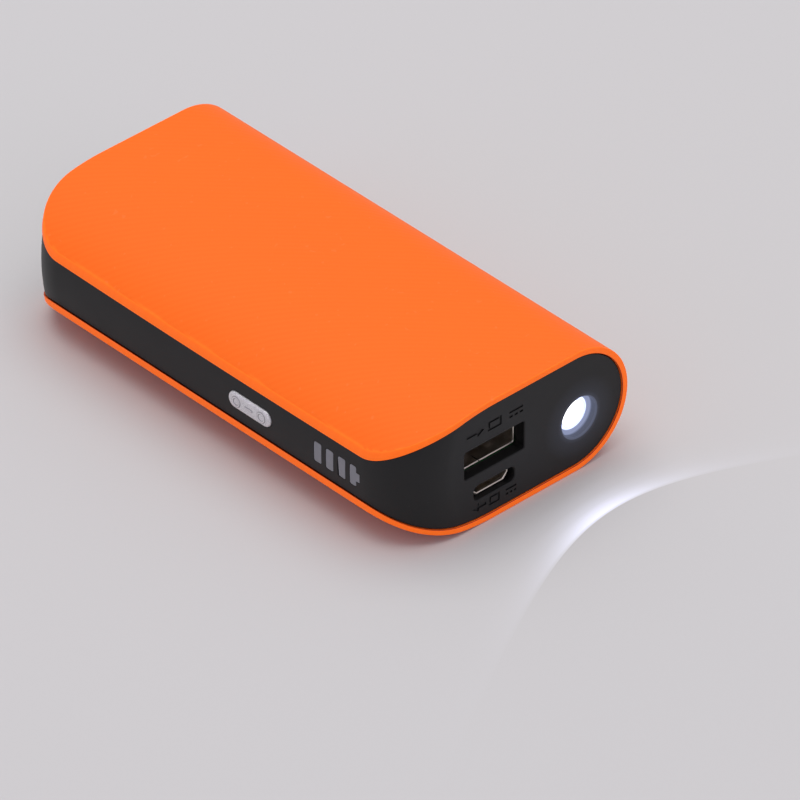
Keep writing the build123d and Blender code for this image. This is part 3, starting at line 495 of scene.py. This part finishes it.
def make_lit_lens():
    """White light in the middle, pale blue towards the rim: the tone follows the distance from the axis."""
    mix = Recipe("lens_clear")
    swirl = mix.noise(0.8 * MM, 2.0)
    tone = torch_distance(mix) / LENS_RADIUS + 0.08 * swirl
    glow = mix.ramp(
        tone, (0.76, (1, 1, 1, 1)), (0.86, (0.16, 0.20, 0.38, 1)), (0.98, (0.42, 0.48, 0.80, 1))
    )
    return mix.finish(
        {
            "Base Color": mix.mix(swirl, rgb(225, 232, 245), rgb(240, 244, 252)),
            "Roughness": 0.06 + 0.05 * swirl,
            "Emission Color": glow,
            "Emission Strength": 2.2,
            "Coat Weight": 0.5,
        }
    )


finishes["lens_clear"] = make_lit_lens()
finishes["lamp_clear"] = make_finish(
    "lamp_clear", rgb(228, 234, 244), rgb(240, 244, 250), (0.08, 0.16), 0.0, 0.4, 0.002
)

# %% [markdown]
# ## The wrap-round cover
# The cover is one thin shell, so it is worked out as a surface and not drawn as a solid. Every point is
# found from two parameters: where it is along the plan outline, from the port end round the corner and
# along the button side to the other end, and how far round the end profile. The plan outline says how far
# the barrel shape reaches there, and the profile ends where it meets that reach. The same function, pulled
# in a little from the profile or from the barrel, gives the inner wall and the rounded lips, so that the
# whole rim is rounded like the real moulding.

# %% Profile and reach
PROFILE_SAMPLES = 3000
FLAT_SAMPLES = 400
TIP_ANGLE = math.radians(4)
COMMON_REACH = 23.4 * MM


def profile_curve(inset):
    """The end profile pulled in by inset, as X, Z and the length along it.

    A quarter of an ellipse rises from the taper's tip, a straight top leads to a half circle of radius half
    the height, and the lower half is the upper half turned over.
    """
    half = MID - inset
    turn = np.linspace(TIP_ANGLE, math.pi / 2, PROFILE_SAMPLES)
    flat = np.linspace(TAPER_X, ROUND_X, FLAT_SAMPLES)[1:]
    x = np.concatenate([TAPER_X - (TAPER_LENGTH - inset) * np.cos(turn), flat])
    z = np.concatenate([half * np.sin(turn), np.full(flat.size, half)])
    spine = np.linspace(math.pi / 2, 0, PROFILE_SAMPLES)[1:]
    x = np.concatenate([x, ROUND_X + half * np.cos(spine)])
    z = np.concatenate([z, half * np.sin(spine)])
    x = np.concatenate([x, x[-2::-1]])
    z = np.concatenate([MID + z, MID - z[-2::-1]])
    length = np.concatenate([[0], np.cumsum(np.hypot(np.diff(x), np.diff(z)))])
    return x, z, length


def plan_outline(inset, corner_steps=26, side_steps=24):
    """Y and the barrel's reach from its axis, from the port end to the far end, pulled in by inset.

    Each corner is a quarter circle in plan. Between them the side bows out by a tenth of a millimetre.
    """
    corner = CORNER_RADIUS - inset
    straight = CASE_LENGTH / 2 - CORNER_RADIUS
    turn = np.linspace(math.pi / 2, 0, corner_steps + 1)
    corner_y = straight + corner * np.sin(turn)
    corner_reach = BARREL_RADIUS - inset - BAND_BOW - corner * (1 - np.cos(turn))
    side_y = np.linspace(-straight, straight, side_steps + 1)[1:-1]
    side_reach = BARREL_RADIUS - inset - BAND_BOW * (side_y / straight) ** 2
    y = np.concatenate([-corner_y, side_y, corner_y[::-1]])
    reach = np.concatenate([corner_reach, side_reach, corner_reach[::-1]])
    return y, reach


def cover_grid(profile_inset, end_inset, free_steps=36, flat_steps=20, spine_steps=96):
    """Points of the cover's surface, one row for each place along the plan outline.

    A row starts where the profile meets the barrel's reach, runs over the top, round the spine and under
    the bottom, and stops where the profile meets the reach again. Only the stretches near the free edges
    change from row to row.
    """
    x, z, length = profile_curve(profile_inset)
    y, reach = plan_outline(end_inset)
    half_way = len(x) // 2
    distance = np.hypot(AXIS_X - x, z - MID)
    left = np.arange(half_way)[x[:half_way] < AXIS_X - 2 * MM]
    start = np.interp(reach, distance[left][::-1], length[left][::-1])
    common = np.interp(COMMON_REACH, distance[left][::-1], length[left][::-1])
    top = np.interp(ROUND_X, x[:half_way], length[:half_way])
    total = length[-1]
    share = np.linspace(0, 1, free_steps + 1)
    rise = start[:, None] + (common - start[:, None]) * share[None, :]
    middle = np.concatenate(
        [
            np.linspace(common, top, flat_steps + 1)[1:],
            np.linspace(top, total - top, spine_steps + 1)[1:],
            np.linspace(total - top, total - common, flat_steps + 1)[1:-1],
        ]
    )
    along = np.concatenate([rise, np.tile(middle, (len(y), 1)), total - rise[:, ::-1]], axis=1)
    points = np.empty(along.shape + (3,))
    points[..., 0] = np.interp(along, length, x)
    points[..., 1] = y[:, None]
    points[..., 2] = np.interp(along, length, z)
    return points


print("profile length mm:", round(profile_curve(0)[2][-1] / MM, 1))

# %% [markdown]
# ## From grids to meshes
# A grid of points becomes a mesh by joining each point to its neighbours. Rings are grids whose last column
# meets the first. Several grids can share one mesh; welding then closes the seams between them.

# %% Mesh helpers


def grid_faces(rows, columns, first, ring=False):
    """Corner numbers of the four-sided faces between neighbouring rows and columns."""
    row = np.arange(rows - 1)[:, None] * columns
    column = np.arange(columns if ring else columns - 1)[None, :]
    after = (column + 1) % columns
    return np.stack(
        [row + column, row + after, row + columns + after, row + columns + column], axis=-1
    ).reshape(-1, 4) + first


def mesh_piece(name, grids, material, body="case", attribute=None, values=None):
    """One welded, outward-facing object from several (points, is it a ring) grids."""
    vertices, faces, first = [], [], 0
    for points, ring in grids:
        rows, columns = points.shape[:2]
        vertices.append(points.reshape(-1, 3))
        faces.append(grid_faces(rows, columns, first, ring))
        first += rows * columns
    mesh = bpy.data.meshes.new(name)
    mesh.from_pydata(np.concatenate(vertices).tolist(), [], np.concatenate(faces).tolist())
    if attribute:
        layer = mesh.attributes.new(attribute, "FLOAT", "POINT")
        layer.data.foreach_set("value", np.concatenate(values).astype(np.float32))
    weld(mesh)
    mesh.materials.append(material)
    piece = bpy.data.objects.new(name, mesh)
    bpy.context.collection.objects.link(piece)
    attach(piece, body)
    print(f"{name}: {len(mesh.vertices)} points, {len(mesh.polygons)} faces")
    return piece


def weld(mesh, gap=1e-7):
    """Joins points closer than gap, turns all faces outwards and shades them smoothly."""
    work = bmesh.new()
    work.from_mesh(mesh)
    bmesh.ops.remove_doubles(work, verts=work.verts, dist=gap)
    bmesh.ops.recalc_face_normals(work, faces=work.faces)
    work.to_mesh(mesh)
    work.free()
    mesh.shade_smooth()


# %% [markdown]
# The cover's rim is one closed loop: along one free edge, round the port end, back along the other free
# edge and round the far end. The lip steps through a quarter circle outside, crosses the wall, and steps
# through another quarter circle inside.

# %% Build the cover
LIP = 0.16 * MM
LIP_STEPS = 5


def boundary(points):
    """The points round the edge of a grid, in order, as one row."""
    return np.concatenate([points[0, :-1], points[:-1, -1], points[-1, :0:-1], points[:0:-1, 0]])


def build_cover():
    """Outer wall, rounded rim and inner wall, with a value that is 1 on the rim and 2 on its inner fold:
    painted light and painted shade.
    """
    outer = cover_grid(0, LIP)
    inner = cover_grid(COVER_WALL, LIP)
    turn = np.linspace(0, math.pi / 2, LIP_STEPS + 1)
    steps = [(LIP * (1 - math.cos(t)), LIP * (1 - math.sin(t))) for t in turn]
    steps += [(COVER_WALL - a, b) for a, b in steps[::-1]]
    rim = np.stack([boundary(cover_grid(a, b)) for a, b in steps])
    # Where the orange paints light on the rim (1) and shade on its inner fold (2).
    level = np.where(np.arange(len(steps)) > LIP_STEPS + 2, 2.0, 1.0)
    rim_light_shade_marks = np.repeat(level, rim.shape[1])
    marks = [np.zeros(outer[..., 0].size), rim_light_shade_marks, np.zeros(inner[..., 0].size)]
    grids = [(outer, False), (rim, True), (inner, False)]
    return mesh_piece("cover", grids, soft_orange, "case", "rim", marks)


cover = build_cover()
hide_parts("wrap_cover")

# %% [markdown]
# ## Rolled mouths of the ports
# Both port shells are folded from quarter-millimetre strip, and the cut edge at the mouth is rolled round,
# so that a plug slides in. A flat edge would mirror the dark mouth; the round one always finds some light.
# Each shell is a closed path in depth and wall, carried round an outline: back along the outside, round the
# lip and down the inside. Spring fingers push small bumps into the room that the plug fills.

# %% Outlines that the shells follow
RING_POINTS = 640
ARC_POINTS = 13
LEAST_RADIUS = 0.05 * MM


def even_ring(corners, radii, count=RING_POINTS):
    """A closed outline through rounded corners, as count points spaced evenly along it.

    Each corner becomes an arc that touches both of its sides: the arc's centre lies on the line that halves
    the corner's angle, at radius / sin(half the angle) from the corner.
    """
    corners = np.array(corners, float)
    before = np.roll(corners, 1, axis=0) - corners
    after = np.roll(corners, -1, axis=0) - corners
    before /= np.linalg.norm(before, axis=1)[:, None]
    after /= np.linalg.norm(after, axis=1)[:, None]
    middle = before + after
    middle /= np.linalg.norm(middle, axis=1)[:, None]
    half = np.arccos(np.clip((before * after).sum(axis=1), -1, 1)) / 2
    centre = corners + middle * (np.array(radii) / np.sin(half))[:, None]
    touch = np.array(radii) / np.tan(half)
    start, end = corners + before * touch[:, None], corners + after * touch[:, None]
    share = np.linspace(0, 1, ARC_POINTS)[None, :, None]
    chord = start[:, None] * (1 - share) + end[:, None] * share - centre[:, None]
    outward = chord / np.linalg.norm(chord, axis=2)[..., None]
    arcs = centre[:, None] + outward * np.array(radii)[:, None, None]
    points = np.concatenate([arcs.reshape(-1, 2), arcs[0, :1]])
    length = np.concatenate([[0], np.cumsum(np.hypot(*np.diff(points, axis=0).T))])
    places = np.linspace(0, length[-1], count, endpoint=False)
    return np.stack([np.interp(places, length, points[:, i]) for i in (0, 1)], axis=1)


def box_ring(inset, wide, tall, corner):
    """Rounded rectangle pulled in by inset."""
    x, z = wide / 2 - inset, tall / 2 - inset
    return even_ring([(x, z), (-x, z), (-x, -z), (x, -z)], [max(corner - inset, LEAST_RADIUS)] * 4)


def trapeze_ring(inset, top, low, tall, corner):
    """The small port's outline, wide above and narrow below, pulled in by inset."""
    x, n, z = top / 2 - inset, low / 2 - inset, tall / 2 - inset
    corners = [(x, z), (-x, z), (-x, 0), (-n, -z), (n, -z), (x, 0)]
    return even_ring(corners, [max(corner - inset, LEAST_RADIUS)] * 6)


def shell_path(front, rear, wall, lip, steps=11, rows=40):
    """Inset and depth along the closed path: outside, rolled lip, inside, cut edge at the back."""
    turn = np.linspace(0, math.pi, steps)
    inside = np.linspace(front + 2.5 * lip, rear, rows)
    roll = 2 * lip - wall
    settled = wall + roll * np.exp(-((inside - front) / lip - 1))
    inset = np.concatenate([np.zeros(rows), lip - lip * np.cos(turn), settled, [0]])
    y = np.concatenate(
        [np.linspace(rear, front + 2 * lip, rows), front + lip - lip * np.sin(turn), inside, [rear]]
    )
    return inset, y


def shell_grid(outline, path, centre):
    """The path carried round the outline."""
    inset, y = path
    rings = np.stack([outline(value) for value in inset])
    depth = np.broadcast_to(y[:, None], rings.shape[:2])
    return np.stack([centre[0] + rings[..., 0], depth, centre[1] + rings[..., 1]], axis=-1)


def hill(value, middle, spread):
    """A smooth hill of height 1: exp(-((value - middle) / spread)^4)."""
    return np.exp(-(((value - middle) / spread) ** 4))


def slab(low, high, bevel=0.04 * MM):
    """A closed block with bevelled edges, as one ring grid that ends in a point at each end."""
    half = (np.array(high) - np.array(low)) / 2
    middle = (np.array(high) + np.array(low)) / 2
    small = min(half[0], half[2])
    inset = np.array([small, bevel, 0, 0, bevel, small])
    y = middle[1] + half[1] * np.array([-1, -1, -1, 1, 1, 1]) + bevel * np.array([0, 0, 1, -1, 0, 0])
    wide, tall = 2 * half[0], 2 * half[2]
    rings = np.stack([box_ring(min(v, small * 0.999), wide, tall, 2 * bevel) for v in inset])
    depth = np.broadcast_to(y[:, None], rings.shape[:2])
    return np.stack([middle[0] + rings[..., 0], depth, middle[2] + rings[..., 1]], axis=-1)


# %% Build the port shells
STRIP = 0.25 * MM
ROLL = 0.19 * MM
FINGER_PLACE, FINGER_SPREAD = (2.6 * MM, 2.9 * MM), (0.85 * MM, 1.0 * MM)
FINGER_RISE = 0.30 * MM
SEAM_X, SEAM_SPREAD = -1.3 * MM, (0.10 * MM, 1.6 * MM)
LEG_PLACES = (10.5 * MM, 4.5 * MM)
LEG_LENGTH, LEG_GRIP = 2.2 * MM, 0.8 * MM
TAB_WIDE, TAB_FRONT = 0.6 * MM, 2.4 * MM
a_low, a_high = (Vector(corner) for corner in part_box("usb_a_shell"))
A_WIDE, A_TALL = a_high.x - a_low.x, 5.2 * MM
A_CENTRE = ((a_low.x + a_high.x) / 2, a_high.z - A_TALL / 2)
m_low, m_high = (Vector(corner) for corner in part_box("micro_usb_shell"))
M_WIDE, M_TALL = m_high.x - m_low.x, 2.5 * MM
M_CENTRE = ((m_low.x + m_high.x) / 2, m_low.z + M_TALL / 2)


def build_large_shell():
    """The large port's shell: bumps of four spring fingers, a seam under the mouth and four board legs."""
    grid = shell_grid(
        lambda inset: box_ring(inset, A_WIDE, A_TALL, 0.6 * MM),
        shell_path(a_low.y, a_high.y, STRIP, ROLL),
        A_CENTRE,
    )
    x, y, z = grid[..., 0] - A_CENTRE[0], grid[..., 1] - a_low.y, grid[..., 2] - A_CENTRE[1]
    flat = (np.abs(z) > A_TALL / 2 - STRIP * 1.5) & (np.abs(x) < A_WIDE / 2 - 1.0 * MM)
    across = hill(np.abs(x), FINGER_PLACE[0], FINGER_SPREAD[0])
    finger = across * hill(y, FINGER_PLACE[1], FINGER_SPREAD[1]) * FINGER_RISE
    seam = hill(x, SEAM_X, SEAM_SPREAD[0]) * hill(y, 0, SEAM_SPREAD[1]) * (z < 0)
    grid[..., 2] -= np.sign(z) * finger * flat
    grid[..., 1] += seam * (y < 0.4 * MM) * 0.2 * MM
    grids = [(grid, True)]
    marks = [seam.ravel()]
    for side in (-1, 1):
        for back in LEG_PLACES:
            wall = A_CENTRE[0] + side * (A_WIDE / 2 - STRIP / 2)
            low = (wall - STRIP / 2, a_high.y - back, a_low.z)
            top = A_CENTRE[1] - A_TALL / 2 + LEG_GRIP
            high = (wall + STRIP / 2, a_high.y - back + LEG_LENGTH, top)
            grids.append((slab(low, high), True))
            marks.append(np.zeros(6 * RING_POINTS))
    return mesh_piece("usb_a_rolled_shell", grids, finishes["port_steel"], "case", "seam", marks)


def build_small_shell():
    """The small port's shell, with two short legs up to the board and a closed back."""
    grid = shell_grid(
        lambda inset: trapeze_ring(inset, M_WIDE, M_WIDE - 1.7 * MM, M_TALL, 0.3 * MM),
        shell_path(m_low.y, m_high.y, STRIP, ROLL),
        M_CENTRE,
    )
    grids = [(grid, True)]
    roof = M_CENTRE[1] + M_TALL / 2 - 0.1 * MM
    for x in (m_low.x, m_high.x - TAB_WIDE):
        low = (x, m_high.y - TAB_FRONT, roof)
        high = (x + TAB_WIDE, m_high.y - 0.6 * MM, m_high.z)
        grids.append((slab(low, high), True))
    low = (m_low.x + 0.3 * MM, m_high.y - 0.28 * MM, m_low.z + STRIP)
    high = (m_high.x - 0.3 * MM, m_high.y - 0.05 * MM, M_CENTRE[1] + M_TALL / 2 - STRIP)
    grids.append((slab(low, high), True))
    return mesh_piece("micro_usb_rolled_shell", grids, finishes["port_steel"])


large_shell = build_large_shell()
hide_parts("usb_a_shell")
small_shell = build_small_shell()
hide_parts("micro_usb_shell")

# %% [markdown]
# ## The button's pressed face
# The cap is a stadium: every point is found from how far it lies from the stadium's middle line. The face
# is slightly domed, its edge is rounded, and shallow signs stand on it: a ring, a bar and a second ring.
# The height of a sign rises and falls over a twentieth of a millimetre, as a moulded edge does.

# %% Build the button cap
cap_low, cap_high = (Vector(corner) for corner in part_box("button_cap"))
CAP_FLANGE = 0.8 * MM
CAP_LONG = cap_high.y - cap_low.y - 2 * CAP_FLANGE
CAP_TALL = cap_high.z - cap_low.z - 2 * CAP_FLANGE
CAP_Y = (cap_low.y + cap_high.y) / 2
CAP_Z = (cap_low.z + cap_high.z) / 2
FLANGE_X = cap_high.x - 1.1 * MM
SIGN_RISE = 0.1 * MM
SIGN_RING_Y, SIGN_RING_RADIUS, SIGN_RING_HALF = 2.9 * MM, 0.78 * MM, 0.18 * MM
SIGN_BAR_HALF, SIGN_BAR_RADIUS = 0.7 * MM, 0.2 * MM
CAP_EDGE = 0.35 * MM
DOME = 0.05 * MM
FACE_LINES, EDGE_LINES = 34, 7
POLE = 0.002 * MM
FLANGE_EDGE = 0.05 * MM
PUSHER_POINTS = 48


def stadium(spread, count=480):
    """A closed line at a distance from the stadium's middle line, in Y and Z, evenly numbered round it."""
    half = (CAP_LONG - CAP_TALL) / 2
    turn = np.linspace(-math.pi / 2, math.pi / 2, count // 4)
    run = np.linspace(half, -half, count // 4 + 2)[1:-1]
    top, low = np.full(run.size, spread), np.full(run.size, -spread)
    y = np.concatenate([half + spread * np.cos(turn), run, -half - spread * np.cos(turn), -run])
    z = np.concatenate([spread * np.sin(turn), top, -spread * np.sin(turn), low])
    return y, z


def edge_step(distance, width=0.09 * MM):
    """1 inside a sign and 0 outside, with a smooth step of a given width at its edge."""
    return 1 / (1 + np.exp(np.clip(distance / width * 4, -40, 40)))


def sign_height(y, z):
    """Share of the full height of the three signs: each edge is where its signed distance passes nought."""
    rings = np.minimum(np.hypot(y - SIGN_RING_Y, z), np.hypot(y + SIGN_RING_Y, z))
    ring = np.abs(rings - SIGN_RING_RADIUS) - SIGN_RING_HALF
    bar = np.hypot(np.maximum(np.abs(y) - SIGN_BAR_HALF, 0), z) - SIGN_BAR_RADIUS
    return np.maximum(edge_step(ring), edge_step(bar))


def build_button():
    """Cap with a domed face, rounded edge, straight side and flange, and the pusher behind it."""
    radius = CAP_TALL / 2
    face = cap_low.x + SIGN_RISE
    side = FLANGE_X - face
    turn = np.linspace(0, math.pi / 2, EDGE_LINES + 1)[1:]
    inner = np.linspace(POLE, radius - CAP_EDGE, FACE_LINES)
    flange = radius + CAP_FLANGE
    back = side + CAP_FLANGE
    spread = [inner, radius - CAP_EDGE + CAP_EDGE * np.sin(turn), [radius, radius]]
    spread += [[flange - FLANGE_EDGE, flange, flange, flange - FLANGE_EDGE, POLE]]
    depth = [DOME * (inner / radius) ** 2, DOME + CAP_EDGE * (1 - np.cos(turn)), [side * 0.5, side]]
    depth += [[side, side + FLANGE_EDGE, back - FLANGE_EDGE, back, back]]
    spread, depth = np.concatenate(spread), np.concatenate(depth)
    lines = [stadium(value) for value in spread]
    y, z = np.stack([line[0] for line in lines]), np.stack([line[1] for line in lines])
    x = face + np.broadcast_to(depth[:, None], y.shape).copy()
    on_face = (depth < 0.3 * MM) & (np.arange(len(depth)) < FACE_LINES + EDGE_LINES)
    share = np.where(on_face[:, None], sign_height(y, z), 0)
    x -= SIGN_RISE * share
    cap = np.stack([x, CAP_Y + y, CAP_Z + z], axis=-1)
    around = np.linspace(0, math.tau, PUSHER_POINTS, endpoint=False)
    rings = np.array([1e-3, 1.05, 1.1, 1.1, 1.05, 1e-3])[:, None] * MM
    tip = cap_high.x - face
    reach = np.array([back - 0.1 * MM, back - 0.1 * MM, back, tip - 0.05 * MM, tip, tip])
    pusher = np.stack(
        [
            np.broadcast_to(face + reach[:, None], (len(reach), PUSHER_POINTS)),
            CAP_Y + rings * np.cos(around),
            CAP_Z + rings * np.sin(around),
        ],
        axis=-1,
    )
    # Painted shade mask: 4 s (1 - s), strongest halfway up each sign's edge.
    relief = [(4 * share * (1 - share)).ravel(), np.zeros(pusher.shape[:2]).ravel()]
    grids = [(cap, True), (pusher, True)]
    return mesh_piece("button_face", grids, finishes["button_silver"], "button", "relief", relief)


button = build_button()
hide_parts("button_cap")

# %% [markdown]
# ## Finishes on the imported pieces
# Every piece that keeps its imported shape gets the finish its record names.

# %% Give each node its finish
REPLACED = ("wrap_cover", "usb_a_shell", "micro_usb_shell", "button_cap")
node_slots = {row["node"]: row["material_slot"] for row in frame["record"]["subparts"]}
for name, piece in nodes.items():
    if name in REPLACED:
        continue
    piece.data.materials.clear()
    piece.data.materials.append(finishes[node_slots[name]])
print("finished nodes:", len(nodes) - len(REPLACED))

# %% [markdown]
# ## Floor and the torch's light on it
# The lamp throws a narrow beam far away and a ring of stray light close by. Where that ring meets the floor
# it draws a bright bow with a sharp outer edge. The floor's own material draws it: a point's place against
# a hyperbola says if it is inside the edge, and the glow fades towards the case and along both arms. The
# floor lies two hundredths of a millimetre under the case, so that the two never share a plane.

# %% Floor
FLOOR_REACH = 3.0
FLOOR_Z = -0.02 * MM
BOW_CENTRE_X = TORCH_X - 1.7 * MM
BOW_SPREAD = 1.549
BOW_HEIGHT = 21.6 * MM
BOW_START = 2.75 * MM
BOW_GLOW = ((0.45, 0.0), (0.66, 0.12), (0.80, 0.38), (0.91, 0.80), (0.96, 0.95), (1.0, 0.40), (1.05, 0.0))
ARM_OFFSET, ARM_LENGTH = 4.0 * MM, 15.0 * MM


def make_floor():
    """Pale floor with the torch's bow of light, drawn from the distance to a hyperbola."""
    mix = Recipe("pale_floor")
    here = mix.place()
    x = mix.node("ShaderNodeSeparateXYZ", {}, {0: here}, 0) - BOW_CENTRE_X
    ahead = FRONT_Y - mix.node("ShaderNodeSeparateXYZ", {}, {0: here}, 1)
    edge = (x * x + BOW_HEIGHT**2) ** 0.5
    inside = (ahead + BOW_START) * BOW_SPREAD / edge
    glow = mix.ramp(inside, *BOW_GLOW)
    side = (x + ARM_OFFSET) / ARM_LENGTH
    fade = (side * side + 1) ** -2.0
    colour = mix.mix(glow * fade, (0, 0, 0, 1), (0.72, 0.76, 1.0, 1))
    speckle = mix.noise(0.6 * MM, 2.0)
    return mix.finish(
        {
            "Base Color": mix.mix(speckle, (0.566, 0.559, 0.558, 1), (0.576, 0.569, 0.568, 1)),
            "Roughness": 0.85,
            "Specular IOR Level": 0.1,
            "Emission Color": colour,
            "Emission Strength": 0.72,
        }
    )


def build_floor():
    """A wide square under the case, just below its lowest point."""
    mesh = bpy.data.meshes.new("floor")
    corners = [(-FLOOR_REACH, -FLOOR_REACH, FLOOR_Z), (FLOOR_REACH, -FLOOR_REACH, FLOOR_Z)]
    corners += [(FLOOR_REACH, FLOOR_REACH, FLOOR_Z), (-FLOOR_REACH, FLOOR_REACH, FLOOR_Z)]
    mesh.from_pydata(corners, [], [(0, 1, 2, 3)])
    mesh.materials.append(make_floor())
    floor = bpy.data.objects.new("floor", mesh)
    bpy.context.collection.objects.link(floor)
    return floor


floor = build_floor()

# %% [markdown]
# ## Studio light
# Three big soft panels light the case: a neutral one overhead and a little behind, and two weaker violet
# ones, on the button side and the port side. A pale world fills in between them, as white walls would.

# %% Lights
WORLD_TINT = (0.94, 0.92, 0.99, 1)
WORLD_STRENGTH = 0.58


def soft_panel(name, place, size, power, tint):
    """A flat area light of a size in metres and a power in watts, facing the middle of the floor."""
    light = bpy.data.lights.new(name, "AREA")
    light.shape = "RECTANGLE"
    light.size, light.size_y = size
    light.energy = power
    light.color = tint
    lamp = bpy.data.objects.new(name, light)
    bpy.context.collection.objects.link(lamp)
    lamp.location = place
    lamp.rotation_mode = "QUATERNION"
    lamp.rotation_quaternion = (-Vector(place)).to_track_quat("-Z", "Y")
    return lamp


soft_panel("overhead", place=(0.10, 0.12, 1.3), size=(1.4, 1.4), power=12.6, tint=(1.0, 1.0, 0.98))
soft_panel("button_side", place=(-2.0, 0.3, 0.5), size=(1.6, 1.0), power=3.2, tint=(0.92, 0.62, 1.0))
soft_panel("port_side", place=(0.3, -2.0, 0.5), size=(1.6, 1.0), power=3.0, tint=(0.92, 0.7, 1.0))
world = bpy.data.worlds.new("studio")
world.use_nodes = True
backdrop = world.node_tree.nodes["Background"]
backdrop.inputs["Color"].default_value = WORLD_TINT
backdrop.inputs["Strength"].default_value = WORLD_STRENGTH
bpy.context.scene.world = world
bpy.context.scene.view_settings.view_transform = "Standard"
